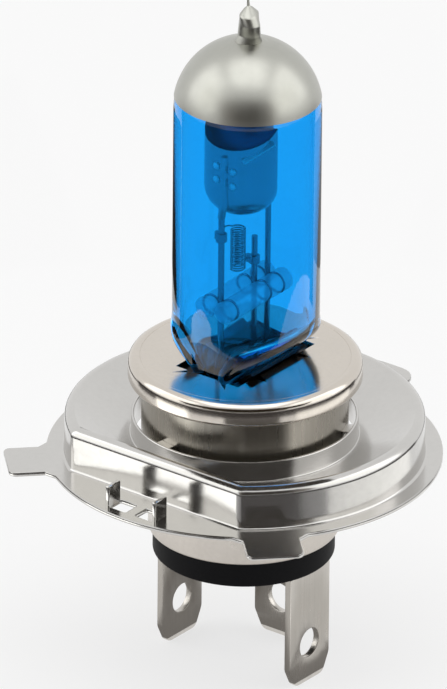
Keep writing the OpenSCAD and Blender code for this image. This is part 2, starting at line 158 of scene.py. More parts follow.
class Graph:
    """One material's or world's node tree, emptied."""

    def __init__(self, owner: Union[bpy.types.Material, bpy.types.World]) -> None:
        """Clears the owner's nodes."""
        owner.use_nodes = True
        self.tree = owner.node_tree
        self.tree.nodes.clear()

    def node(self, kind: str, settings: Optional[dict] = None, values: Optional[dict] = None,
             output: Union[int, str] = 0) -> Value:
        """Adds any node.

        Args:
            kind: the node's type.
            settings: attributes that are set first.
            values: socket names or numbers, each with a value or a link.
            output: the output that is handed back.

        Returns:
            That output.
        """
        made = self.tree.nodes.new(kind)
        for name, setting in (settings or {}).items():
            setattr(made, name, setting)
        for name, value in (values or {}).items():
            if isinstance(value, Value):
                self.tree.links.new(value.socket, made.inputs[name])
            else:
                made.inputs[name].default_value = value
        return Value(self, made.outputs[output] if made.outputs else None)

    def noise(self, fineness: float, grain: Grain) -> Value:
        """A noise over the piece, in its own Object coordinates.

        Args:
            fineness: waves in a metre.
            grain: how the waves are stretched.

        Returns:
            The noise, about 0.3 to 0.7.
        """
        place = self.node("ShaderNodeTexCoord", output="Object")
        scale = [fineness * share for share in grain.value]
        spot = self.node("ShaderNodeMapping", values={"Vector": place, "Scale": scale})
        return self.node("ShaderNodeTexNoise", values={"Vector": spot, "Scale": 1.0, "Detail": NOISE_DETAIL})

    def blend(self, factor: Number, first: Union[Value, Colour], second: Union[Value, Colour]) -> Value:
        """Mixes two colours.

        Args:
            factor: 0 gives the first colour and 1 the second.
            first: a colour.
            second: another colour.

        Returns:
            The mixed colour.
        """
        factor_input, first_input, second_input, colour_output = 0, 6, 7, 2
        values = {factor_input: factor, first_input: first, second_input: second}
        return self.node("ShaderNodeMix", {"data_type": "RGBA"}, values, colour_output)


@dataclass(frozen=True)
class Finish:
    """A surface with a grain that varies its colour, gloss and level."""

    name: str
    slot: Slot
    colour: Colour
    shade: Colour
    roughness: float
    roughness_spread: float
    grain: Grain = Grain.SPECKLED
    fineness: float = 1500.0
    grain_height: float = 0.004 * MM
    patch_fineness: float = 160.0
    metallic: float = 1.0
    transmission: float = 0.0
    ior: float = 1.5
    specular: float = 0.5
    bare_colour: Optional[Colour] = None

    def material(self) -> bpy.types.Material:
        """Builds the finish once.

        Returns:
            The material, shared by every piece with this finish.
        """
        known = bpy.data.materials.get(self.name)
        if known:
            return known
        made = bpy.data.materials.new(self.name)
        graph = Graph(made)
        grain = graph.noise(self.fineness, self.grain)
        patches = graph.noise(self.patch_fineness, Grain.SPECKLED)
        even = 0.5
        mixed = grain * even + patches * even
        bump = graph.node("ShaderNodeBump", values={
            "Strength": 1.0, "Distance": self.grain_height, "Height": grain})
        colour = graph.blend(mixed, self.colour, self.shade)
        if self.bare_colour:
            coated = graph.node("ShaderNodeAttribute", {"attribute_name": COATED}, output="Fac")
            colour = graph.blend(coated, self.bare_colour, colour)
        shader = graph.node("ShaderNodeBsdfPrincipled", values={
            "Base Color": colour,
            "Roughness": (mixed - NOISE_MIDDLE) * (2 * self.roughness_spread) + self.roughness,
            "Metallic": self.metallic,
            "Transmission Weight": self.transmission,
            "IOR": self.ior,
            "Specular IOR Level": self.specular,
            "Normal": bump,
        })
        graph.node("ShaderNodeOutputMaterial", values={"Surface": shader})
        return made


BLUE_GLASS = Finish("blue_tinted_glass", Slot.BLUE_GLASS, (0.006, 0.32, 0.92, 1), (0.010, 0.39, 0.96, 1),
                    0.015, 0.02, fineness=120.0, grain_height=0.002 * MM, metallic=0.0,
                    transmission=1.0, ior=1.46, bare_colour=(0.98, 0.99, 1.0, 1))
DOME_COAT = Finish("satin_silver_coat", Slot.DOME_COAT, (0.45, 0.45, 0.41, 1), (0.38, 0.38, 0.35, 1),
                   0.34, 0.08, fineness=900.0, grain_height=0.003 * MM)
QUARTZ = Finish("clear_quartz", Slot.CLEAR_QUARTZ, (0.95, 0.98, 1.0, 1), (0.99, 1.0, 1.0, 1),
                0.01, 0.01, fineness=300.0, grain_height=0.004 * MM, metallic=0.0, transmission=1.0, ior=1.46)
POST_WIRE = Finish("drawn_post_wire", Slot.POST_WIRE, (0.36, 0.37, 0.40, 1), (0.22, 0.23, 0.26, 1),
                   0.25, 0.1, Grain.UPRIGHT, 9000.0, 0.002 * MM)
SHIELD_SHEET = Finish("rolled_shield_sheet", Slot.SHIELD_SHEET, (0.50, 0.51, 0.54, 1), (0.34, 0.35, 0.38, 1),
                      0.22, 0.1, Grain.UPRIGHT, 3000.0, 0.001 * MM)
# Painted highlight: a lighter, rougher copy of the shield sheet on the fold and the weld dimples, standing in
# for their glints.
SHIELD_PAINTED_HIGHLIGHT = Finish("shield_painted_highlight", Slot.SHIELD_SHEET, (0.97, 0.97, 0.98, 1), (0.90, 0.90, 0.92, 1),
                     0.65, 0.1, fineness=3000.0, grain_height=0.001 * MM)
TUNGSTEN = Finish("bright_tungsten", Slot.TUNGSTEN, (0.45, 0.45, 0.47, 1), (0.24, 0.24, 0.26, 1),
                  0.30, 0.12, fineness=9000.0, grain_height=0.001 * MM)
SEAL_FOIL = Finish("sealing_foil", Slot.SEAL_FOIL, (0.40, 0.41, 0.44, 1), (0.25, 0.26, 0.29, 1),
                   0.40, 0.1, fineness=2500.0)
LEAD_WIRE = Finish("tinned_lead_wire", Slot.LEAD_WIRE, (0.62, 0.60, 0.56, 1), (0.45, 0.43, 0.40, 1),
                   0.30, 0.1, fineness=4000.0)
COLLAR_DISC = Finish("polished_collar", Slot.COLLAR_STEEL, (0.64, 0.59, 0.53, 1), (0.56, 0.52, 0.47, 1),
                     0.15, 0.06, fineness=2600.0, grain_height=0.0015 * MM)
COLLAR_SLEEVE = Finish("brushed_sleeve", Slot.COLLAR_STEEL, (0.48, 0.45, 0.40, 1), (0.34, 0.32, 0.28, 1),
                       0.28, 0.1, Grain.UPRIGHT, 1800.0, 0.003 * MM)
# Painted shade: the spring sheet is coloured near black for the shade inside the collar, where little light
# reaches.
SPRING_PAINTED_SHADE = Finish("spring_sheet_painted_shade", Slot.SPRING_STEEL, (0.020, 0.019, 0.018, 1),
                (0.045, 0.043, 0.041, 1), 0.30, 0.1, fineness=3000.0)
RING = Finish("bright_ring_plate", Slot.RING_STEEL, (0.60, 0.59, 0.57, 1), (0.53, 0.52, 0.505, 1),
              0.17, 0.06, fineness=1400.0, grain_height=0.0012 * MM)
SHELL = Finish("grainy_shell_plate", Slot.SHELL_STEEL, (0.70, 0.66, 0.61, 1), (0.56, 0.52, 0.48, 1),
               0.30, 0.1, fineness=2200.0, grain_height=0.005 * MM)
INSULATOR = Finish("black_moulding", Slot.BLACK_INSULATOR, (0.004, 0.004, 0.005, 1), (0.010, 0.010, 0.011, 1),
                   0.50, 0.12, fineness=2600.0, grain_height=0.006 * MM, metallic=0.0, specular=0.06)
BLADE = Finish("brushed_blade_metal", Slot.BLADE_METAL, (0.62, 0.59, 0.55, 1), (0.44, 0.42, 0.39, 1),
               0.30, 0.14, Grain.UPRIGHT, 3200.0, 0.004 * MM)


def direction(azimuth: float, elevation: float) -> Vector:
    """The way from the object to a place round it.

    Args:
        azimuth: the place's direction, in degrees from -Y towards +X.
        elevation: its height above the horizon, in degrees.

    Returns:
        A unit vector.
    """
    turn, rise = math.radians(azimuth), math.radians(elevation)
    return Vector((math.sin(turn) * math.cos(rise), -math.cos(turn) * math.cos(rise), math.sin(rise)))


def shift(x: float, y: float, z: float) -> Matrix:
    """A move, in millimetres."""
    return Matrix.Translation((x * MM, y * MM, z * MM))


def about_z(degrees: float) -> Matrix:
    """A turn about Z."""
    return Matrix.Rotation(math.radians(degrees), 4, "Z")


def linked(name: str, data: bpy.types.ID) -> bpy.types.Object:
    """Makes an object of a mesh, curve, light or camera and puts it in the scene."""
    made = bpy.data.objects.new(name, data)
    bpy.context.scene.collection.objects.link(made)
    return made


def as_mesh(name: str, bm: Mesh) -> bpy.types.Mesh:
    """Turns a bmesh, which is freed, into a mesh."""
    mesh = bpy.data.meshes.new(name)
    bm.to_mesh(mesh)
    bm.free()
    return mesh


def only(kind: type, parts: Sequence) -> list:
    """The parts of one kind, such as vertices."""
    return [part for part in parts if isinstance(part, kind)]


def rounded_path(corners: Sequence[Corner], closed: bool) -> list[Point]:
    """Turns corners into a path with round bends.

    Args:
        corners: (across, up, bend radius) of each corner.
        closed: whether the path closes on its first corner.

    Returns:
        The path's points.
    """
    path: list[Point] = []
    for index, (across, up, bend) in enumerate(corners):
        here = Vector((across, up))
        is_end = not closed and index in (0, len(corners) - 1)
        if bend == 0 or is_end:
            path.append((across, up))
            continue
        before = Vector(corners[index - 1][:2]) - here
        after = Vector(corners[(index + 1) % len(corners)][:2]) - here
        before.normalize()
        after.normalize()
        half = before.angle(after) / 2
        reach = bend / math.tan(half)
        centre = here + (before + after).normalized() * (bend / math.sin(half))
        start = here + before * reach - centre
        sweep = start.angle_signed(here + after * reach - centre)
        for step in range(ARC_STEPS + 1):
            point = centre + Matrix.Rotation(-sweep * step / ARC_STEPS, 2) @ start
            path.append((point.x, point.y))
    return path


def oblong(half_x: float, half_y: float, corner: float) -> list[Point]:
    """An oblong round the axis with round corners.

    Args:
        half_x: half its width along X.
        half_y: half its width along Y.
        corner: the radius of its corners.

    Returns:
        Its points, anticlockwise.
    """
    signs = ((-1, -1), (1, -1), (1, 1), (-1, 1))
    return rounded_path([(x * half_x, y * half_y, corner) for x, y in signs], True)


def arc(centre: Point, radius: float, start: float, end: float, steps: int) -> list[Point]:
    """Points along an arc.

    Args:
        centre: the arc's centre.
        radius: its radius.
        start: its first angle, in degrees.
        end: its last angle, in degrees.
        steps: how many stretches it has.

    Returns:
        The points, both ends included.
    """
    angles = [math.radians(start + (end - start) * step / steps) for step in range(steps + 1)]
    return [(centre[0] + radius * math.cos(a), centre[1] + radius * math.sin(a)) for a in angles]


def wire_loop(bm: Mesh, points: Sequence[Vector], closed: bool) -> list:
    """Adds a chain of vertices and edges.

    Args:
        bm: the mesh it is added to.
        points: the chain's points, in metres.
        closed: whether its ends are joined.

    Returns:
        The vertices and edges that were made.
    """
    verts = [bm.verts.new(point) for point in points]
    pairs = list(zip(verts, verts[1:]))
    if closed:
        pairs.append((verts[-1], verts[0]))
    return verts + [bm.edges.new(pair) for pair in pairs]


def tidy(bm: Mesh) -> Mesh:
    """Merges doubles, drops loose edges and turns all faces outwards."""
    bmesh.ops.remove_doubles(bm, verts=bm.verts, dist=WELD)
    bmesh.ops.delete(bm, geom=[edge for edge in bm.edges if edge.is_wire], context="EDGES")
    bmesh.ops.recalc_face_normals(bm, faces=bm.faces)
    if bm.calc_volume(signed=True) < 0:
        bmesh.ops.reverse_faces(bm, faces=bm.faces)
    return bm


def turned(path: Sequence[Point], closed: bool, sweep: float = TURN, steps: int = ROUND_STEPS) -> Mesh:
    """Spins a path about Z.

    Args:
        path: (radius, height) of each point, in millimetres.
        closed: whether the path closes on itself.
        sweep: the angle of the spin.
        steps: how many stretches the spin has.

    Returns:
        The turned mesh.
    """
    bm = bmesh.new()
    chain = wire_loop(bm, [Vector((r * MM, 0, z * MM)) for r, z in path], closed)
    bmesh.ops.spin(bm, geom=chain, cent=(0, 0, 0), axis=(0, 0, 1), angle=sweep, steps=steps,
                   use_merge=sweep == TURN)
    return tidy(bm)


def bridged(loops: Sequence[Sequence[Vector]], capped: bool) -> Mesh:
    """Grows a skin through a row of closed loops.

    Args:
        loops: loops with the same number of points, in metres.
        capped: True fills both end loops, False joins the last loop to the first.

    Returns:
        The closed mesh.
    """
    bm = bmesh.new()
    made = wire_loop(bm, loops[0], True)
    row = only(bmesh.types.BMVert, made)
    edges = only(bmesh.types.BMEdge, made)
    if capped:
        bmesh.ops.contextual_create(bm, geom=edges)
    following = loops[1:] if capped else [*loops[1:], loops[0]]
    for loop in following:
        grown = bmesh.ops.extrude_edge_only(bm, edges=edges)["geom"]
        fresh = set(only(bmesh.types.BMVert, grown))
        edges = [edge for edge in only(bmesh.types.BMEdge, grown) if fresh.issuperset(edge.verts)]
        row = [next(edge.other_vert(vert) for edge in vert.link_edges if edge.other_vert(vert) in fresh)
               for vert in row]
        for vert, point in zip(row, loop):
            vert.co = point
    if capped:
        bmesh.ops.contextual_create(bm, geom=edges)
    return tidy(bm)


def plate(outline: Sequence[Point], holes: Sequence[Sequence[Point]], sheet: float,
          softness: float) -> Mesh:
    """A flat plate with holes and softened edges, from z = 0 up.

    Args:
        outline: the outer edge, in millimetres.
        holes: the edges of its holes.
        sheet: its thickness.
        softness: the radius of its edges.

    Returns:
        The plate's mesh.
    """
    bm = bmesh.new()
    for loop in [outline, *holes]:
        wire_loop(bm, [Vector((x * MM, y * MM, 0)) for x, y in loop], True)
    bmesh.ops.triangle_fill(bm, edges=bm.edges, use_beauty=True)
    bmesh.ops.recalc_face_normals(bm, faces=bm.faces)
    raised = bmesh.ops.extrude_face_region(bm, geom=bm.faces[:])["geom"]
    bmesh.ops.translate(bm, verts=only(bmesh.types.BMVert, raised), vec=(0, 0, sheet * MM))
    tidy(bm)
    rims = [edge for edge in bm.edges if len(edge.link_faces) == 2 and edge.calc_face_angle() > SQUARE_ANGLE]
    flat = [edge for edge in rims if abs(edge.verts[0].co.z - edge.verts[1].co.z) < WELD]
    bmesh.ops.bevel(bm, geom=flat, offset=softness * MM, affect="EDGES", segments=2, profile=0.5, material=-1)
    return tidy(bm)


def block(low: Sequence[float], high: Sequence[float], softness: float) -> Mesh:
    """A block with round edges.

    Args:
        low: its lowest corner, in millimetres.
        high: its highest corner.
        softness: the radius of its edges.

    Returns:
        The block's mesh.
    """
    bm = bmesh.new()
    size = Vector(high) - Vector(low)
    middle = (Vector(high) + Vector(low)) / 2
    bmesh.ops.create_cube(bm, size=1.0, matrix=Matrix.LocRotScale(middle * MM, None, size * MM))
    bmesh.ops.bevel(bm, geom=bm.edges[:], offset=softness * MM, affect="EDGES", segments=3, profile=0.5,
                    material=-1)
    return tidy(bm)


def tube(points: Sequence[Vector], radius: float) -> Mesh:
    """A round wire along points.

    Args:
        points: the wire's middle line, in millimetres.
        radius: its radius.

    Returns:
        The wire's mesh.
    """
    curve = bpy.data.curves.new("wire_line", "CURVE")
    curve.dimensions = "3D"
    curve.bevel_depth = radius * MM
    curve.bevel_resolution = 2
    curve.use_fill_caps = True
    line = curve.splines.new("POLY")
    line.points.add(len(points) - 1)
    for spot, point in zip(line.points, points):
        spot.co = (*(Vector(point) * MM), 1.0)
    holder = linked("wire_line", curve)
    drawn = holder.evaluated_get(bpy.context.evaluated_depsgraph_get())
    mesh = bpy.data.meshes.new_from_object(drawn)
    bpy.data.objects.remove(holder)
    bm = bmesh.new()
    bm.from_mesh(mesh)
    bpy.data.meshes.remove(mesh)
    return tidy(bm)


def joined(parts: Sequence[Mesh]) -> Mesh:
    """Puts several meshes in one.

    Args:
        parts: the meshes, which are freed.

    Returns:
        One mesh with all of them.
    """
    whole = bmesh.new()
    for part in parts:
        carrier = as_mesh("part", part)
        whole.from_mesh(carrier)
        bpy.data.meshes.remove(carrier)
    return whole


def moved(bm: Mesh, matrix: Matrix) -> Mesh:
    """Places a mesh by a matrix whose move is in metres."""
    bmesh.ops.transform(bm, matrix=matrix, verts=bm.verts)
    return bm


@dataclass
class Assembly:
    """A sub-assembly that keeps the pieces it has made."""

    pieces: list[bpy.types.Object] = field(default_factory=list, init=False)

    def add(self, name: str, bm: Mesh, finish: Finish, *nodes: str) -> bpy.types.Object:
        """Makes a piece from a mesh and puts it in place of CAD nodes.

        Args:
            name: the piece's name.
            bm: its mesh, which is freed.
            finish: its finish.
            nodes: the CAD nodes that it stands for.

        Returns:
            The piece's object.
        """
        mesh = as_mesh(name, bm)
        mesh.shade_smooth()
        mesh.set_sharp_from_angle(angle=SHARP_ANGLE)
        for face in mesh.polygons:
            face.use_smooth = abs(face.normal.z) < LEVEL
        mesh.materials.append(finish.material())
        piece = linked(name, mesh)
        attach(piece, "root")
        if nodes:
            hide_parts(*nodes)
        self.pieces.append(piece)
        return piece

    def dress(self, node: str, finish: Finish) -> None:
        """Gives a CAD node a finish and leaves its mesh alone.

        Args:
            node: the CAD node's name.
            finish: its finish.
        """
        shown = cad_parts[node]
        shown.data.materials.clear()
        shown.data.materials.append(finish.material())
        self.pieces.append(shown)


@dataclass
class Glassware(Assembly):
    """The blue glass envelope, its silver dome and the quartz bridge inside, in millimetres."""

    radius: float = 7.98
    wall: float = 1.0
    tube_z: float = 16.5
    dome_z: float = 40.7
    neck_z: float = 9.6
    pinch_z: float = 3.0
    pinch_x: float = 2.4
    pinch_y: float = 6.25
    pinch_foot: float = 1.0
    pinch_squareness: float = 7.0
    floor_z: float = 10.3
    floor_x: float = 1.5
    floor_y: float = 5.3
    floor_rise: float = 0.4
    floor_squareness: float = 4.0
    loop_steps: int = 14
    dome_top_angle: float = 86.0
    coat_z: float = 42.2
    coat: float = 0.1
    coat_gap: float = 0.02
    coat_steps: int = 28
    tip_angle: float = 81.0
    tip: tuple[Corner, ...] = (
        (1.25, 48.8, 0), (1.1, 49.5, 0.5), (1.28, 50.9, 0.6), (1.15, 51.9, 0.4), (0.5, 52.5, 0.2),
        (0.16, 52.75, 0.1), (0.1, 53.65, 0), (0, 53.65, 0))
    twist_low: float = 48.6
    twist_rise: float = 4.0
    bridge_z: float = 18.8
    bridge_x: float = 1.22
    bridge_r: float = 1.25
    bridge_half: float = 5.75
    groove: float = 0.2
    groove_half: float = 0.4
    rod_end: float = 0.5
    rod_end_share: float = 0.72
    wrap_wire: float = 0.13
    wrap_depth: float = 0.14
    wrap_steps: int = 12

    def _section(self, half_x: float, half_y: float, squareness: float, z: float) -> list[Vector]:
        """One loop between a circle and a round-cornered oblong.

        Args:
            half_x: half its width along X.
            half_y: half its width along Y.
            squareness: ROUND for an ellipse, more for squarer corners.
            z: its height.

        Returns:
            The loop's points, in metres.
        """
        loop = []
        for step in range(ROUND_STEPS):
            angle = TURN * step / ROUND_STEPS
            cosine, sine = math.cos(angle), math.sin(angle)
            x = half_x * math.copysign(abs(cosine) ** (ROUND / squareness), cosine)
            y = half_y * math.copysign(abs(sine) ** (ROUND / squareness), sine)
            loop.append(Vector((x, y, z)) * MM)
        return loop

    def _opening(self, low: Corner, round_r: float, top_z: float, squareness: float) -> list[list[Vector]]:
        """Loops that open from a pinch into the round tube.

        Args:
            low: half width along X, half width along Y and height of the lowest loop.
            round_r: the tube's radius.
            top_z: where the tube is round.
            squareness: the lowest loop's squareness.

        Returns:
            The loops, from the lowest up.
        """
        half_x, half_y, low_z = low
        loops = []
        for step in range(self.loop_steps + 1):
            even = step / self.loop_steps
            share = even * even * (3 - 2 * even)
            height = low_z + (top_z - low_z) * step / self.loop_steps
            loops.append(self._section(
                half_x + (round_r - half_x) * share, half_y + (round_r - half_y) * share,
                squareness + (ROUND - squareness) * share, height))
        return loops

    def _dome(self, radius: float) -> list[list[Vector]]:
        """Loops over the dome, up to a small ring at its top."""
        path = arc((0, self.dome_z), radius, 0, self.dome_top_angle, self.loop_steps)
        return [self._section(r, r, ROUND, z) for r, z in path]

    def envelope(self) -> Mesh:
        """The glass wall with its pinch below, its outer skin marked as coated."""
        inner = self.radius - self.wall
        outside = [self._section(self.pinch_x, self.pinch_y, self.pinch_squareness, z)
                   for z in (self.pinch_z, self.pinch_z + self.pinch_foot)]
        outside += self._opening((self.pinch_x, self.pinch_y, self.neck_z), self.radius, self.tube_z,
                                 self.pinch_squareness)
        outside += self._dome(self.radius)
        inside = self._opening((self.floor_x, self.floor_y, self.floor_z), inner,
                               self.tube_z + self.floor_rise, self.floor_squareness)
        inside += self._dome(inner)
        skin = bridged(outside, True)
        coated_count = len(skin.verts)
        bm = joined([skin, self._inside_out(bridged(inside, True))])
        coated = bm.verts.layers.float.new(COATED)
        for index, vert in enumerate(bm.verts):
            vert[coated] = float(index < coated_count)
        return bm

    @staticmethod
    def _inside_out(bm: Mesh) -> Mesh:
        """Turns a closed mesh's faces inwards, as a cavity."""
        bmesh.ops.reverse_faces(bm, faces=bm.faces)
        return bm

    def dome_coat(self) -> Mesh:
        """The silver coat over the dome, with its sealed tip drawn out to a hair."""
        skin = self.radius + self.coat
        under = self.radius + self.coat_gap
        low_angle = math.degrees(math.asin((self.coat_z - self.dome_z) / skin))
        outer = arc((0, self.dome_z), skin, low_angle, self.tip_angle, self.coat_steps)
        inner = arc((0, self.dome_z), under, 90, low_angle, self.coat_steps)
        bm = turned(outer + rounded_path(self.tip, False) + inner, True)
        self._twist(bm)
        return tidy(bm)

    def _twist(self, bm: Mesh) -> None:
        """Leans and lobes the tip, as glass that was drawn off by hand."""
        lean_size, lean_wave, lean_x, lean_y = 0.3, 3.4, 0.8, 0.5
        lobe_size, lobes, lobe_wave = 0.16, 2, 5
        for vert in bm.verts:
            rise = (vert.co.z / MM - self.twist_low) / self.twist_rise
            if rise > 0:
                lean = lean_size * math.sin(lean_wave * rise) * MM
                turn = math.atan2(vert.co.y, vert.co.x)
                lobe = 1 + lobe_size * math.sin(lobes * turn + lobe_wave * rise)
                vert.co.x = vert.co.x * lobe + lean * lean_x
                vert.co.y = vert.co.y * lobe - lean * lean_y

    def bridge(self, posts: Sequence[float]) -> Mesh:
        """The two quartz rods, with a groove at each post.

        Args:
            posts: the posts' places along Y.

        Returns:
            The rods' mesh.
        """
        end_share = self.rod_end_share
        path = [(0.0, -self.bridge_half)]
        for step in range(FINE_STEPS + 1):
            along = -self.bridge_half + 2 * self.bridge_half * step / FINE_STEPS
            near_end = max(0.0, min(1.0, (self.bridge_half - abs(along)) / self.rod_end))
            waves = sum(math.exp(-((along - post) / self.groove_half) ** 2) for post in posts)
            body = self.bridge_r - self.groove * min(waves, 1)
            path.append((body * (end_share + (1 - end_share) * math.sqrt(1 - (1 - near_end) ** 2)), along))
        path.append((0.0, self.bridge_half))
        return joined([moved(turned(path, False, steps=FINE_STEPS), place) for place in self._rod_places()])

    def _rod_places(self) -> list[Matrix]:
        """Turns and moves what is made round Z to the two rods, which lie along Y."""
        along_y = Matrix.Rotation(-math.pi / 2, 4, "X")
        return [shift(side * self.bridge_x, 0, self.bridge_z) @ along_y for side in (-1, 1)]

    def wraps(self, posts: Sequence[float]) -> Mesh:
        """The thin wires that bind the rods at each post.

        Args:
            posts: the posts' places along Y.

        Returns:
            The rings' mesh.
        """
        ring_r = self.bridge_r - self.wrap_depth
        rings = []
        for place in self._rod_places():
            for post in posts:
                section = arc((ring_r, post), self.wrap_wire, 0, 360, self.wrap_steps)[:-1]
                rings.append(moved(turned(section, True, steps=FINE_STEPS), place))
        return joined(rings)

    def build(self, posts: Sequence[float]) -> None:
        """Makes and dresses the glass pieces.

        Args:
            posts: the posts' places along Y.
        """
        self.add("glass_tube", self.envelope(), BLUE_GLASS, "glass_envelope")
        self.add("silver_dome", self.dome_coat(), DOME_COAT, "dome_coating")
        self.add("bridge_rods", self.bridge(posts), QUARTZ, "quartz_bridge")
        self.add("bridge_wraps", self.wraps(posts), POST_WIRE)


@dataclass
class Burner(Assembly):
    """The posts, the shield and both filaments inside the glass, in millimetres."""

    posts: tuple[float, float, float] = (-4.35, 1.45, 3.9)
    post_r: float = 0.33
    shield_r: float = 4.05
    shield_sheet: float = 0.22
    shield_y: float = -0.88
    shield_low: float = 29.2
    shield_top: float = 39.4
    shield_bend: float = 3.2
    shield_turn: float = 14.0
    rib_turn: float = 10.0
    rib_share: float = 1.3
    rib_heights: Corner = (0.3, 2.4, 7.9)
    lid_slope: float = 20.0
    lip_h: float = 0.45
    lip_share: float = 0.9
    fold_ends: tuple[Point, Point] = ((88.0, 38.4), (37.0, 36.8))
    fold_half: float = 0.3
    fold_sheet: float = 0.1
    fold_stand: float = 0.35
    weld_spots: tuple[Point, ...] = ((23.0, 33.7), (23.0, 35.4), (-3.0, 34.2), (-3.0, 35.8))
    weld_size: Corner = (0.45, 0.26, 0.42)
    coil_r: float = 0.77
    wire_r: float = 0.085
    coil_y: float = -1.5
    coil_h: float = 4.9
    coil_turns: int = 18
    bow: float = 0.45
    high_z: float = 22.2
    low_z: float = 31.6
    clip_half: float = 0.5
    clip_r: float = 0.6
    clip_bend: float = 0.12
    arm_x: float = 0.97
    arm_t: float = 0.4
    arm_softness: float = 0.1
    lead_gap: float = 0.3
    shield_gap: float = 0.4

    def shield(self) -> Mesh:
        """The half cup under its sloping lid, with the post's rib."""
        foot_z, knee_z, top_z = [self.shield_low + rise for rise in self.rib_heights]
        bend_share = 0.6
        foot = Vector((0, self.posts[0], foot_z))
        knee = self._on_shield(self.rib_turn, knee_z)
        line = [foot, foot.lerp(knee, bend_share), knee, self._on_shield(self.rib_turn, top_z)]
        return joined([self._cup(), self._lid(), tube(line, self.post_r * self.rib_share)])

    def welds(self) -> Mesh:
        """The shield's weld dimples and the fold across its side, in a lighter copy of the shield sheet that
        is a painted highlight.
        """
        parts = [self._fold()]
        for turn, z in self.weld_spots:
            dimple = bmesh.new()
            place = Matrix.Translation(self._on_shield(turn, z) * MM) @ Matrix.Diagonal((*self.weld_size, 1))
            bmesh.ops.create_uvsphere(dimple, u_segments=20, v_segments=12, radius=MM, matrix=place)
            parts.append(dimple)
        return joined(parts)

    def _on_shield(self, turn: float, z: float) -> Vector:
        """A point on the shield's outer face.

        Args:
            turn: its direction round the shield's axis, in degrees from -Y towards +X.
            z: its height.

        Returns:
            The point, in millimetres.
        """
        angle = math.radians(turn)
        return Vector((self.shield_r * math.sin(angle), self.shield_y - self.shield_r * math.cos(angle), z))

    def _fold(self) -> Mesh:
        """A narrow fold across the shield's side, which faces up and forwards."""
        high, low = [self._on_shield(turn, z) for turn, z in self.fold_ends]
        forwards, softness = 0.6, 0.05
        along = (low - high).normalized()
        outwards = Vector((-along.y, along.x, 0)).normalized()
        facing = (Vector((0, 0, 1)) - along * along.z + outwards * forwards).normalized()
        across = facing.cross(along)
        corner = Vector(((low - high).length / 2, self.fold_half, self.fold_sheet))
        turn = Matrix((along, across, facing)).transposed().to_4x4()
        place = Matrix.Translation((high + low) / 2 * MM + outwards * self.fold_stand * MM)
        return moved(block(-corner, corner, softness), place @ turn)

    def _placed(self, bm: Mesh) -> Mesh:
        """Turns a mesh made round Z with the shield and moves it to the shield's axis."""
        return moved(bm, shift(0, self.shield_y, 0) @ about_z(self.shield_turn))

    def _cup(self) -> Mesh:
        """The half cup's wall and floor, cut along the lid's slope."""
        sheet, low = self.shield_sheet, self.shield_low
        outer, inner = self.shield_r, self.shield_r - self.shield_sheet
        section = rounded_path([
            (0, low, 0), (outer, low, self.shield_bend), (outer, self.shield_top, 0),
            (inner, self.shield_top, 0), (inner, low + sheet, self.shield_bend - sheet),
            (0, low + sheet, 0)], False)
        cup = turned(section, True, math.pi, ROUND_STEPS // 2)
        moved(cup, Matrix.Rotation(math.pi, 4, "Z"))
        slope = math.radians(self.lid_slope)
        bmesh.ops.bisect_plane(cup, geom=cup.verts[:] + cup.edges[:] + cup.faces[:], dist=WELD,
                               plane_co=(0, 0, self.shield_top * MM),
                               plane_no=(0, -math.sin(slope), math.cos(slope)), clear_outer=True)
        open_edges = [edge for edge in cup.edges if len(edge.link_faces) < 2]
        back = [edge for edge in open_edges if all(abs(vert.co.y) < WELD for vert in edge.verts)]
        bmesh.ops.contextual_create(cup, geom=back)
        bmesh.ops.contextual_create(cup, geom=[edge for edge in cup.edges if len(edge.link_faces) < 2])
        return self._placed(tidy(cup))

    def _lid(self) -> Mesh:
        """The sloping half-round lid, with a lip along its straight back edge."""
        sheet, lid_softness, lip_softness = self.shield_sheet, 0.05, 0.08
        slope = math.radians(self.lid_slope)
        stretch = 1 / math.cos(slope)
        edge = [(x, y * stretch) for x, y in arc((0, 0), self.shield_r, 180, 360, FINE_STEPS)]
        lid = moved(plate(edge, [], sheet, lid_softness), shift(0, 0, -sheet))
        half = self.shield_r * self.lip_share
        lip = block((-half, -sheet, -sheet), (half, 0, self.lip_h), lip_softness)
        tilt = shift(0, 0, self.shield_top) @ Matrix.Rotation(slope, 4, "X")
        return self._placed(moved(joined([lid, lip]), tilt))

    def coil(self, low: float, foot: Vector, head: Vector) -> Mesh:
        """A fine coil with a lead at each end.

        Args:
            low: the height of its lower end.
            foot: where its lower lead ends.
            head: where its upper lead ends.

        Returns:
            The filament's mesh.
        """
        rings, lead_steps = 20, 8
        middle = []
        for step in range(self.coil_turns * rings + 1):
            angle = math.pi + TURN * step / rings
            middle.append(Vector((self.coil_r * math.cos(angle), self.coil_y + self.coil_r * math.sin(angle),
                                  low + self.coil_h * step / (self.coil_turns * rings))))
        lower = [foot.lerp(middle[0], step / lead_steps) for step in range(lead_steps)]
        upper = []
        for step in range(1, lead_steps + 1):
            share = step / lead_steps
            upper.append(middle[-1].lerp(head, share) + Vector((0, 0, self.bow * math.sin(math.pi * share))))
        return tube(lower + middle + upper, self.wire_r)

    def clip(self, post: float, z: float, facing: int) -> Mesh:
        """A crimped clip: a sleeve round a post with an arm to the filament.

        Args:
            post: the post's place along Y.
            z: the clip's middle height.
            facing: 1 where the arm lies towards +Y.

        Returns:
            The clip's mesh.
        """
        low, high = z - self.clip_half, z + self.clip_half
        section = rounded_path([
            (self.post_r, low, 0), (self.clip_r, low, self.clip_bend), (self.clip_r, high, self.clip_bend),
            (self.post_r, high, 0)], True)
        sleeve = moved(turned(section, True, steps=ROUND_STEPS // 4), shift(0, post, 0))
        near, away = sorted((post, post + facing * self.arm_t))
        arm = block((-self.arm_x, near, low), (-self.post_r, away, high), self.arm_softness)
        return joined([sleeve, arm])

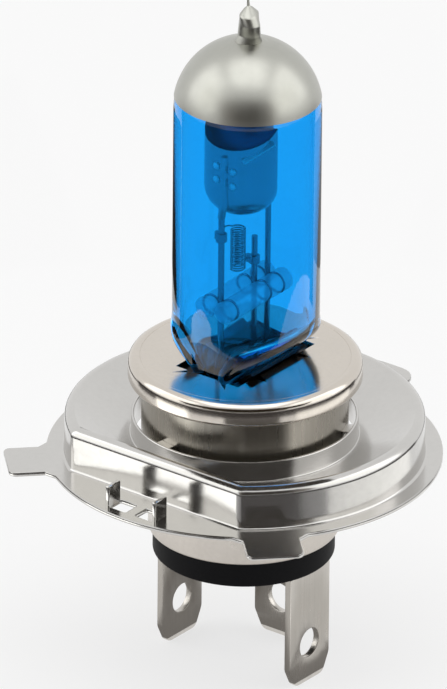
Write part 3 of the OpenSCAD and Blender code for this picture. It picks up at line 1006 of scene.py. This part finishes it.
    def half_clip(self, post: float, z: float) -> Mesh:
        """The arm inside the shield, on the open side of its post."""
        inner_share, end_x, thickness = 0.6, 0.3, 0.45
        return block((-self.arm_x, post + self.post_r * inner_share, z - self.clip_half),
                     (end_x, post + thickness, z + self.clip_half), self.arm_softness)

    def build(self) -> None:
        """Makes and dresses the burner's pieces."""
        common, high, low = self.posts
        arm, gap = -self.coil_r, self.lead_gap
        self.add("shield_cup", self.shield(), SHIELD_SHEET, "low_beam_shield")
        self.add("shield_welds", self.welds(), SHIELD_PAINTED_HIGHLIGHT)
        high_top = self.high_z + self.coil_h
        low_top = self.low_z + self.coil_h
        high_ends = (Vector((arm, high - gap, self.high_z)), Vector((arm, common + gap, high_top)))
        low_ends = (Vector((arm, low - gap, self.low_z)), Vector((arm, common + self.shield_gap, low_top)))
        self.add("high_coil", self.coil(self.high_z, *high_ends), TUNGSTEN, "high_beam_filament")
        self.add("low_coil", self.coil(self.low_z, *low_ends), TUNGSTEN, "low_beam_filament")
        self.add("high_head_clip", self.clip(common, high_top, 1), POST_WIRE, "high_beam_upper_clip")
        self.add("high_foot_clip", self.clip(high, self.high_z, -1), POST_WIRE, "high_beam_lower_clip")
        self.add("low_head_clip", self.half_clip(common, low_top), POST_WIRE, "low_beam_upper_clip")
        self.add("low_foot_clip", self.clip(low, self.low_z, -1), POST_WIRE, "low_beam_lower_clip")
        for beam in ("common", "high_beam", "low_beam"):
            self.dress(f"{beam}_post", POST_WIRE)
            self.dress(f"{beam}_foil", SEAL_FOIL)
            self.dress(f"{beam}_lead", LEAD_WIRE)


@dataclass
class Collar(Assembly):
    """The polished disc with its rolled rim, the brushed sleeve below it and the spring, in millimetres."""

    sleeve_r: float = 11.2
    sheet: float = 0.6
    sleeve_low: float = 1.2
    rim_r: float = 12.7
    roll: float = 1.3
    edge_round: float = 0.9
    hem_round: float = 0.45
    top_z: float = 11.3
    opening_x: float = 4.2
    opening_y: float = 6.8
    slit_reach: float = 1.7
    slit_half: float = 0.5
    end_slit_share: float = 0.8
    disc_softness: float = 0.04
    overlap: float = 0.2
    sleeve_lap: float = 0.3
    sleeve_bends: Point = (0.1, 0.15)
    spring_sheet: float = 0.4
    spring_margin: Point = (1.4, 0.6)
    spring_corner: float = 0.5
    grip: Point = (2.3, 6.3)
    grip_corner: float = 0.3
    tongue: tuple[Corner, ...] = ((2.3, 5.4, 0), (2.3, 10.3, 1.0), (3.1, 11.3, 0.8), (4.3, 12.1, 0))
    tongue_half: float = 4.8
    tongue_drop: float = 0.4

    def disc(self) -> Mesh:
        """The top disc with its slit opening, and the rolled rim round it."""
        crown = self.rim_r - self.roll
        under = self.top_z - self.sheet
        edge = arc((0, 0), crown, 0, 360, ROUND_STEPS)[:-1]
        top = moved(plate(edge, [self._opening()], self.sheet, self.disc_softness), shift(0, 0, under))
        inside = self.sleeve_r - self.sleeve_lap
        hem = self.top_z - 2 * self.roll
        rim = turned(rounded_path([
            (crown, self.top_z, 0), (self.rim_r, self.top_z, self.edge_round),
            (self.rim_r, hem, self.hem_round), (inside, hem, 0), (inside, under, 0),
            (crown - self.overlap, under, 0)], True), True)
        return joined([top, rim])

    def _opening(self) -> list[Point]:
        """The opening's outline: an oblong with two pointed slits at each corner.

        Returns:
            The points, in millimetres.
        """
        side, end, half = self.opening_x, self.opening_y, self.slit_half
        end_reach = self.slit_reach * self.end_slit_share
        quarter = [(side, end / 2 - half), (side + self.slit_reach, end / 2 + half), (side, end / 2 + half),
                   (side, end), (side / 2 + half, end), (side / 2 + end_reach, end + end_reach),
                   (side / 2 - half, end)]
        mirrored = list(reversed(quarter))
        points = quarter + [(-x, y) for x, y in mirrored]
        return points + [(-x, -y) for x, y in quarter] + [(x, -y) for x, y in mirrored]

    def sleeve(self) -> Mesh:
        """The straight sleeve from the rim down into the ring's neck."""
        top = self.top_z - self.roll
        inner = self.sleeve_r - self.sheet
        inner_bend, outer_bend = self.sleeve_bends
        return turned(rounded_path([
            (inner, self.sleeve_low, inner_bend), (self.sleeve_r, self.sleeve_low, outer_bend),
            (self.sleeve_r, top, 0), (inner, top, 0)], True), True)

    def spring(self) -> Mesh:
        """The spring's frame under the disc, with two tongues that follow the flare of the glass."""
        softness = 0.08
        frame_low = self.top_z - self.sheet - self.spring_sheet
        window = oblong(*self.grip, self.grip_corner)
        edge = oblong(self.opening_x + self.spring_margin[0], self.opening_y + self.spring_margin[1],
                      self.spring_corner)
        border = moved(plate(edge, [window], self.spring_sheet, softness), shift(0, 0, frame_low))
        return joined([border, self._tongue(-1), self._tongue(1)])

    def _tongue(self, side: int) -> Mesh:
        """One tongue, bent outwards along the glass.

        Args:
            side: 1 for the +X tongue and -1 for the other.

        Returns:
            The tongue's mesh.
        """
        sheet, half = self.spring_sheet, self.tongue_half
        face = rounded_path(self.tongue, False)
        back = [(x + sheet, z - sheet * self.tongue_drop) for x, z in reversed(face)]
        bm = bmesh.new()
        wire_loop(bm, [Vector((side * x * MM, -half * MM, z * MM)) for x, z in face + back], True)
        bmesh.ops.contextual_create(bm, geom=bm.edges)
        grown = bmesh.ops.extrude_face_region(bm, geom=bm.faces[:])["geom"]
        bmesh.ops.translate(bm, verts=only(bmesh.types.BMVert, grown), vec=(0, 2 * half * MM, 0))
        return tidy(bm)

    def build(self) -> None:
        """Makes and dresses the collar's pieces."""
        self.add("collar_disc", self.disc(), COLLAR_DISC, "collar")
        self.add("collar_sleeve", self.sleeve(), COLLAR_SLEEVE, "collar")
        self.add("pinch_tongues", self.spring(), SPRING_PAINTED_SHADE, "pinch_spring")


@dataclass
class MountingRing(Assembly):
    """The three-lug ring: brim, D-shaped hat, neck, weld pads and folded tabs, in millimetres."""

    brim_r: float = 21.45
    sheet: float = 0.5
    hat_r: float = 19.5
    hat_h: float = 4.8
    flat_y: float = 15.8
    shoulder: float = 0.9
    ridge_w: float = 0.2
    dish_z: float = 2.0
    foot: float = 0.3
    neck_in: float = 12.0
    neck_sheet: float = 0.3
    neck_top: float = 4.4
    neck_foot: float = 0.12
    lug_w: float = 6.2
    lug_reach: float = 25.95
    lug_turn: float = 45.0
    wide_w: float = 7.4
    wide_reach: float = 26.55
    lug_corner: float = 0.8
    wide_corner: float = 2.4
    lug_root: float = 1.0
    tab_w: float = 2.1
    tab_h: float = 2.3
    tab_x: float = 3.4
    tab_y: float = 19.1
    strip_w: float = 1.3
    window_corner: float = 0.2
    tab_softness: float = 0.15
    softness: float = 0.12
    overlap: float = 0.1
    sink: float = 0.9
    skirt: float = 0.5
    neck_bends: Point = (0.12, 0.1)
    foot_steps: int = 6
    shoulder_steps: int = 10
    brim_step: float = 3.0
    pad_turns: tuple[float, ...] = (20.0, 140.0, 260.0)
    pad_half: float = 1.0
    pad_lap: float = 0.2
    pad_inset: float = 0.05
    pad_softness: float = 0.08

    def _lug(self, turn: float, width: float, reach: float, corner: float) -> list[Point]:
        """A lug's outline from brim to brim.

        Args:
            turn: the lug's direction, in degrees from +X.
            width: its width.
            reach: how far it goes from the axis.
            corner: the radius of its corners.

        Returns:
            The points in the brim's frame, anticlockwise.
        """
        half = width / 2
        root = math.sqrt((self.brim_r + self.lug_root) ** 2 - (half + self.lug_root) ** 2) - self.lug_root
        corners = [(root, -half - self.lug_root, 0), (root + self.lug_root, -half, 0.0),
                   (reach, -half, corner), (reach, half, corner),
                   (root + self.lug_root, half, 0.0), (root, half + self.lug_root, 0)]
        angle = math.radians(turn)
        cosine, sine = math.cos(angle), math.sin(angle)
        return [(x * cosine - y * sine, x * sine + y * cosine) for x, y in rounded_path(corners, False)]

    def brim(self) -> Mesh:
        """The flat brim with its lugs and the two windows of the folded tabs."""
        narrow = (self.lug_w, self.lug_reach, self.lug_corner)
        lugs = [(90.0, self.wide_w, self.wide_reach, self.wide_corner), (270.0 - self.lug_turn, *narrow),
                (270.0 + self.lug_turn, *narrow)]
        outline: list[Point] = []
        for index, lug in enumerate(lugs):
            after = lugs[(index + 1) % len(lugs)]
            here = self._lug(*lug)
            outline += here
            start = math.degrees(math.atan2(here[-1][1], here[-1][0]))
            following = self._lug(*after)[0]
            end = math.degrees(math.atan2(following[1], following[0]))
            sweep = (end - start) % 360
            outline += arc((0, 0), self.brim_r, start, start + sweep, int(sweep / self.brim_step))[1:-1]
        hole = self._d_points(self.hat_r - self.sheet + self.overlap, self.flat_y - self.sheet + self.overlap)
        inset, bend = self.tab_x - self.sheet, self.window_corner
        low, high = -self.tab_y - self.tab_w / 2, -self.tab_y + self.tab_w / 2
        windows = []
        for side in (-1, 1):
            near, away = side * self.strip_w / 2, side * inset
            windows.append(rounded_path(
                [(near, low, bend), (away, low, bend), (away, high, bend), (near, high, bend)], True))
        return moved(plate(outline, [hole, *windows], self.sheet, self.softness), shift(0, 0, -self.sheet))

    def _d_points(self, radius: float, flat: float) -> list[Point]:
        """A circle cut straight on its -Y side.

        Args:
            radius: the circle's radius.
            flat: the cut's distance from the middle.

        Returns:
            Its points, in millimetres.
        """
        cut = math.degrees(math.asin(flat / radius))
        round_steps, flat_steps = 200, 40
        points = arc((0, 0), radius, -cut, 180 + cut, round_steps)
        left, right = points[-1], points[0]
        for step in range(1, flat_steps):
            share = step / flat_steps
            points.append((left[0] + (right[0] - left[0]) * share, -flat))
        return points

    def _plate_z(self, radius: float) -> float:
        """The height of the hat's dished plate at a distance from the axis."""
        low_r = self.neck_in + self.neck_sheet / 2
        run = self.hat_r - self.shoulder - self.ridge_w - low_r
        return self.dish_z + (self.hat_h - self.dish_z) * (radius - low_r) / run

    def _dished(self, inset: float, sunk: float) -> list[Vector]:
        """A D-shaped loop that lies on the dished plate.

        Args:
            inset: its distance inside the hat's wall.
            sunk: how far it lies under the plate's top.

        Returns:
            The loop's points, in metres.
        """
        points = self._d_points(self.hat_r - inset, self.flat_y - inset)
        return [Vector((x, y, self._plate_z(math.hypot(x, y)) - sunk)) * MM for x, y in points]

    def hat(self) -> Mesh:
        """The D-shaped hat with a round shoulder, its dished plate and the neck that stands in it."""
        sheet, ridge, bend = self.sheet, self.shoulder + self.ridge_w, self.shoulder - self.sheet
        pivot = (0, self.hat_h - self.shoulder)
        profile = [(-self.foot - x, z) for x, z in arc((0, self.foot), self.foot, 270, 180, self.foot_steps)]
        profile += [(self.shoulder + x, z)
                    for x, z in arc(pivot, self.shoulder, 180, 90, self.shoulder_steps)]
        profile.append((ridge, self.hat_h))
        under = [(sheet + bend + x, z) for x, z in arc(pivot, bend, 90, 180, self.foot_steps)]
        under.append((sheet, -sheet * self.sink))
        neck_out = self.neck_in + self.neck_sheet
        skirt = neck_out + self.skirt
        outer_bend, inner_bend = self.neck_bends
        neck = rounded_path([
            (skirt, self._plate_z(skirt), 0), (neck_out, self._plate_z(neck_out), self.neck_foot),
            (neck_out, self.neck_top, outer_bend), (self.neck_in, self.neck_top, inner_bend),
            (self.neck_in, self.dish_z - sheet, 0)], False)
        loops = [self._loop(self.hat_r - inset, self.flat_y - inset, z) for inset, z in profile]
        loops.append(self._dished(ridge + self.overlap, 0))
        loops += [self._loop(radius, radius, z) for radius, z in neck]
        loops.append(self._dished(ridge + self.overlap, sheet))
        loops += [self._loop(self.hat_r - inset, self.flat_y - inset, z) for inset, z in under]
        return bridged(loops, False)

    def _loop(self, radius: float, flat: float, z: float) -> list[Vector]:
        """A level D-shaped loop, or a full circle where the flat is as far as the radius."""
        if flat >= radius:
            count = len(self._d_points(self.hat_r, self.flat_y))
            cut = math.degrees(math.asin(self.flat_y / self.hat_r))
            points = arc((0, 0), radius, -cut, 360 - cut, count)[:-1]
        else:
            points = self._d_points(radius, flat)
        return [Vector((x, y, z)) * MM for x, y in points]

    def tab(self, side: int) -> Mesh:
        """One tab folded up from the brim.

        Args:
            side: 1 for the +X tab and -1 for the other.

        Returns:
            The tab's mesh.
        """
        low_x, high_x = sorted((side * self.tab_x, side * (self.tab_x - self.sheet)))
        return block((low_x, -self.tab_y - self.tab_w / 2, -self.sheet * self.sink),
                     (high_x, -self.tab_y + self.tab_w / 2, self.tab_h), self.tab_softness)

    def pad(self, turn: float, sleeve_r: float) -> Mesh:
        """One weld pad between the neck and the sleeve.

        Args:
            turn: its direction, in degrees from +X.
            sleeve_r: the sleeve's radius.

        Returns:
            The pad's mesh.
        """
        low = (sleeve_r - self.pad_inset, -self.pad_half, self.dish_z)
        high = (self.neck_in + self.pad_lap, self.pad_half, self.neck_top - self.pad_inset)
        return moved(block(low, high, self.pad_softness), about_z(turn))

    def build(self, sleeve_r: float) -> None:
        """Makes and dresses the ring.

        Args:
            sleeve_r: the radius of the sleeve inside the neck.
        """
        parts = [self.brim(), self.hat(), self.tab(-1), self.tab(1)]
        parts += [self.pad(turn, sleeve_r) for turn in self.pad_turns]
        self.add("ring_plate", joined(parts), RING, "mounting_ring")


@dataclass
class Base(Assembly):
    """The shell, the black insulator and the three blades, in millimetres."""

    shell_r: float = 10.4
    shell_sheet: float = 0.5
    shell_low: float = -8.95
    shell_step: float = 0.6
    shell_top: float = 4.0
    sleeve_in: float = 10.6
    insulator_r: float = 9.88
    insulator_low: float = -11.85
    insulator_top: float = -6.5
    insulator_bends: Point = (0.35, 0.2)
    step_bends: Point = (0.1, 0.15)
    hem_bend: float = 0.3
    blade_w: float = 7.0
    blade_t: float = 0.8
    blade_low: float = -25.1
    cut_w: float = 1.1
    cut_h: float = 2.2
    hole_r: float = 1.65
    hole_z: float = -20.6
    stem_w: float = 5.0
    stem_top: float = -5.0
    blade_bends: Corner = (1.0, 1.2, 0.2)
    blade_softness: float = 0.12
    side_x: float = 8.7
    cross_y: float = 7.0

    def shell(self) -> Mesh:
        """The shell that steps out into the sleeve, with a soft lower edge."""
        inner = self.shell_r - self.shell_sheet
        wide, wide_inner = self.sleeve_in, self.sleeve_in - self.shell_sheet
        step_top = self.shell_step + self.shell_sheet
        tight, loose = self.step_bends
        return turned(rounded_path([
            (inner, self.shell_low, tight), (self.shell_r, self.shell_low, self.hem_bend),
            (self.shell_r, self.shell_step, tight), (wide, self.shell_step, loose),
            (wide, self.shell_top, loose), (wide_inner, self.shell_top, tight), (wide_inner, step_top, 0),
            (inner, step_top, 0)], True), True)

    def insulator(self) -> Mesh:
        """The black moulding that holds the blades."""
        low_bend, top_bend = self.insulator_bends
        return turned(rounded_path([
            (0, self.insulator_low, 0), (self.insulator_r, self.insulator_low, low_bend),
            (self.insulator_r, self.insulator_top, top_bend), (0, self.insulator_top, 0)], False), False)

    def blade(self, place: Matrix) -> Mesh:
        """One blade, with tapered lower corners and a round hole.

        Args:
            place: turns and moves the upright blade, in metres.

        Returns:
            The blade's mesh.
        """
        half, stem = self.blade_w / 2, self.stem_w / 2
        low, top = self.blade_low, self.insulator_low
        low_bend, side_bend, stem_bend = self.blade_bends
        right = [(half - self.cut_w, low, low_bend), (half, low + self.cut_h, side_bend), (half, top, 0),
                 (stem, top, 0), (stem, self.stem_top, stem_bend)]
        left = [(-x, z, bend) for x, z, bend in reversed(right)]
        hole = arc((0, self.hole_z), self.hole_r, 0, 360, FINE_STEPS)[:-1]
        bm = plate(rounded_path(right + left, True), [hole], self.blade_t, self.blade_softness)
        upright = Matrix.Rotation(math.pi / 2, 4, "X") @ shift(0, 0, -self.blade_t / 2)
        return moved(bm, place @ upright)

    def build(self) -> None:
        """Makes and dresses the base's pieces."""
        self.add("shell_skirt", self.shell(), SHELL, "base_shell")
        self.add("insulator_puck", self.insulator(), INSULATOR, "base_insulator")
        left = shift(-self.side_x, 0, 0) @ about_z(90)
        right = shift(self.side_x, 0, 0) @ about_z(90)
        back = shift(0, self.cross_y, 0)
        self.add("left_blade", self.blade(left), BLADE, "common_blade")
        self.add("right_blade", self.blade(right), BLADE, "high_beam_blade")
        self.add("back_blade", self.blade(back), BLADE, "low_beam_blade")


@dataclass(frozen=True)
class Board:
    """An upright board that only shows in reflections, in metres and degrees."""

    name: str
    turn: float
    elevation: float
    distance: float
    width: float
    height: float
    colour: Colour


@dataclass(frozen=True)
class MirroredSector:
    """A level sector round the object that only shows in reflections, as a painted reflection, in metres and
    degrees; two of them are the painted shadow under the object and one the painted shade over the collar.
    """

    height: float
    near: float
    far: float
    first: float
    last: float
    colour: Colour


FLOOR = CAD_BOX[0].z
OVER_FLOOR_SECTORS = FLOOR + 0.3 * MM
# Height of the painted-shade sector just over the collar disc.
COLLAR_SHADE_HEIGHT = 11.5 * MM
WHITE = (1, 1, 1, 1)
BOARDS = (
    Board("dark_front", 4, 17, 0.5, 0.48, 0.42, (0.065, 0.058, 0.052, 1)),
    Board("left_card", -72, 26, 0.6, 0.35, 0.35, (1.7, 1.7, 1.66, 1)),
    Board("right_card", 68, 26, 0.6, 0.5, 0.35, (1.7, 1.7, 1.66, 1)),
    Board("grey_front", 0, 17, 0.52, 0.9, 0.44, (0.22, 0.20, 0.18, 1)),
)
MIRRORED_SECTORS = (
    MirroredSector(FLOOR, 0.084, 0.32, -120, 125, (0.065, 0.06, 0.06, 1)),
    MirroredSector(FLOOR, 0.10, 0.15, -170, -121, (0.05, 0.05, 0.05, 1)),
    MirroredSector(FLOOR, 0.10, 0.15, 126, 170, (0.38, 0.38, 0.38, 1)),
    MirroredSector(FLOOR, 0.055, 0.083, -19, 32, (0.13, 0.125, 0.12, 1)),
    MirroredSector(OVER_FLOOR_SECTORS, 0.055, 0.091, -90, -54, (2.4, 2.4, 2.34, 1)),
    MirroredSector(OVER_FLOOR_SECTORS, 0.055, 0.09, 48, 115, (1.5, 1.5, 1.47, 1)),
    # Painted shadow: grey discs under the object, darker near the middle, that the blades and skirt mirror as
    # the object's shadow on the floor.
    MirroredSector(FLOOR, 0.001, 0.014, -180, 179, (0.28, 0.27, 0.26, 1)),
    MirroredSector(FLOOR, 0.015, 0.035, -179, 180, (0.75, 0.74, 0.72, 1)),
    # Painted shade: a near-black sector just over the collar disc, which the sleeve and the rim's underside
    # mirror as darker.
    MirroredSector(COLLAR_SHADE_HEIGHT, 0.0145, 0.024, -40, 40, (0.03, 0.024, 0.018, 1)),
)


@dataclass
class Studio:
    """The floor, the lights, the boards, the world and the camera, in metres and degrees."""

    azimuth: float = 37.4
    elevation: float = 26.0
    roll: float = 0.51
    distance: float = 2.07
    focal_px: float = 19164.0
    image_h: float = 689.0
    sensor_h: float = 24.0
    near_clip: float = 0.05
    aim_right: float = -2.38 * MM
    aim_up: float = 11.24 * MM
    floor_size: float = 8.0
    floor_colour: Colour = (0.86, 0.86, 0.86, 1)
    floor_roughness: float = 0.7
    floor_specular: float = 0.2
    floor_shade: float = 0.3
    sky: float = 0.55
    lamp_places: tuple[tuple[str, float, float], ...] = (
        ("left_light", -50, 30), ("right_light", 125, 30), ("top_light", 37, 82))
    lamp_distance: float = 1.0
    lamp_size: float = 0.9
    lamp_power: float = 2.8
    lamp_aim: float = 15 * MM
    sector_lift: float = 0.5 * MM

    def camera(self) -> None:
        """Makes the camera at the photograph's viewing angle."""
        back = direction(self.azimuth, self.elevation)
        right = direction(self.azimuth + 90, 0)
        up = back.cross(right)
        aim = right * self.aim_right + up * self.aim_up
        roll = math.radians(self.roll)
        rolled_right = right * math.cos(roll) + up * math.sin(roll)
        rolled_up = up * math.cos(roll) - right * math.sin(roll)
        axes = Matrix((rolled_right, rolled_up, back)).transposed()
        lens = bpy.data.cameras.new("camera")
        lens.sensor_fit = "VERTICAL"
        lens.sensor_height = self.sensor_h
        lens.lens = self.focal_px / self.image_h * self.sensor_h
        lens.clip_start = self.near_clip
        holder = linked("camera", lens)
        holder.matrix_world = Matrix.Translation(aim + back * self.distance) @ axes.to_4x4()
        bpy.context.scene.camera = holder

    def floor(self) -> None:
        """A pale floor that looks white to the camera and in reflections, and keeps a soft shadow."""
        bm = bmesh.new()
        bmesh.ops.create_grid(bm, x_segments=2, y_segments=2, size=self.floor_size / 2,
                              matrix=Matrix.Translation((0, 0, FLOOR)))
        mesh = as_mesh("floor", bm)
        made = bpy.data.materials.new("pale_floor")
        graph = Graph(made)
        camera = graph.node("ShaderNodeLightPath", output="Is Camera Ray")
        glossy = graph.node("ShaderNodeLightPath", output="Is Glossy Ray")
        share = (camera * (1 - self.floor_shade)).larger(glossy)
        paint = graph.node("ShaderNodeBsdfPrincipled", values={
            "Base Color": self.floor_colour, "Roughness": self.floor_roughness,
            "Specular IOR Level": self.floor_specular})
        white = graph.node("ShaderNodeEmission", values={"Color": WHITE, "Strength": 1.0})
        mixed = graph.node("ShaderNodeMixShader", values={0: share, 1: paint, 2: white})
        graph.node("ShaderNodeOutputMaterial", values={"Surface": mixed})
        mesh.materials.append(made)
        linked("floor", mesh)

    def world(self) -> None:
        """White where it is seen, and softer as a light."""
        sky = bpy.data.worlds.new("studio")
        graph = Graph(sky)
        camera = graph.node("ShaderNodeLightPath", output="Is Camera Ray")
        glossy = graph.node("ShaderNodeLightPath", output="Is Glossy Ray")
        through = graph.node("ShaderNodeLightPath", output="Is Transmission Ray")
        seen = camera.larger(glossy).larger(through)
        strength = seen * (1 - self.sky) + self.sky
        light = graph.node("ShaderNodeBackground", values={"Color": WHITE, "Strength": strength})
        graph.node("ShaderNodeOutputWorld", values={"Surface": light})
        bpy.context.scene.world = sky

    def lamp(self, name: str, azimuth: float, elevation: float) -> None:
        """A soft square light aimed at the object's middle.

        Args:
            name: the light's name.
            azimuth: its direction round the object, as the camera's.
            elevation: its height above the horizon, in degrees.
        """
        way = direction(azimuth, elevation)
        light = bpy.data.lights.new(name, "AREA")
        light.size = self.lamp_size
        light.energy = self.lamp_power
        holder = linked(name, light)
        holder.location = Vector((0, 0, self.lamp_aim)) + way * self.lamp_distance
        holder.rotation_euler = (-way).to_track_quat("-Z", "Y").to_euler()

    def board(self, board: Board) -> None:
        """Stands one board round the object, facing it."""
        way = direction(self.azimuth + board.turn, board.elevation)
        facing = (-way).to_track_quat("-Z", "Y").to_matrix().to_4x4()
        scaled = Matrix.Diagonal((board.width, board.height, 1, 1))
        bm = bmesh.new()
        bmesh.ops.create_grid(bm, x_segments=1, y_segments=1, size=0.5,
                              matrix=Matrix.Translation(way * board.distance) @ facing @ scaled)
        self._mirrored_only(board.name, bm, board.colour)

    def laid_sector(self, laid_sector: MirroredSector) -> None:
        """Lays one mirrored-only sector, counted from the camera's direction."""
        height = laid_sector.height + self.sector_lift
        bm = bmesh.new()
        edge = wire_loop(bm, [Vector((0, -laid_sector.near, height)), Vector((0, -laid_sector.far, height))], False)
        bmesh.ops.spin(bm, geom=edge, cent=(0, 0, 0), axis=(0, 0, 1), steps=FINE_STEPS,
                       angle=math.radians(laid_sector.last - laid_sector.first))
        moved(bm, about_z(self.azimuth + laid_sector.first))
        self._mirrored_only(f"mirrored_sector_{laid_sector.first}", bm, laid_sector.colour)

    @staticmethod
    def _mirrored_only(name: str, bm: Mesh, colour: Colour) -> None:
        """Makes a flat piece of the stage that metal and glass mirror, and that nothing else sees.

        Args:
            name: its name.
            bm: its mesh, which is freed.
            colour: its colour.
        """
        mesh = as_mesh(name, bm)
        made = bpy.data.materials.new(name)
        graph = Graph(made)
        glow = graph.node("ShaderNodeEmission", values={"Color": colour, "Strength": 1.0})
        graph.node("ShaderNodeOutputMaterial", values={"Surface": glow})
        mesh.materials.append(made)
        holder = linked(name, mesh)
        holder.visible_camera = False
        holder.visible_diffuse = False
        holder.visible_transmission = False
        holder.visible_shadow = False

    def build(self) -> None:
        """Sets the whole studio."""
        self.camera()
        self.floor()
        self.world()
        for place in self.lamp_places:
            self.lamp(*place)
        for board in BOARDS:
            self.board(board)
        for laid_sector in MIRRORED_SECTORS:
            self.laid_sector(laid_sector)
        bpy.context.scene.view_settings.view_transform = "Standard"


def main() -> None:
    """Builds every sub-assembly in order."""
    logging.basicConfig(level=logging.INFO, format="%(name)s: %(message)s")
    studio = Studio()
    burner = Burner()
    glass = Glassware()
    collar = Collar()
    ring = MountingRing()
    base = Base()
    burner.build()
    glass.build(burner.posts)
    collar.build()
    ring.build(collar.sleeve_r)
    base.build()
    studio.build()
    for assembly in (burner, glass, collar, ring, base):
        for piece in assembly.pieces:
            LOG.info("%s: %s, %d faces", type(assembly).__name__, piece.name, len(piece.data.polygons))


if __name__ == "__main__":
    main()
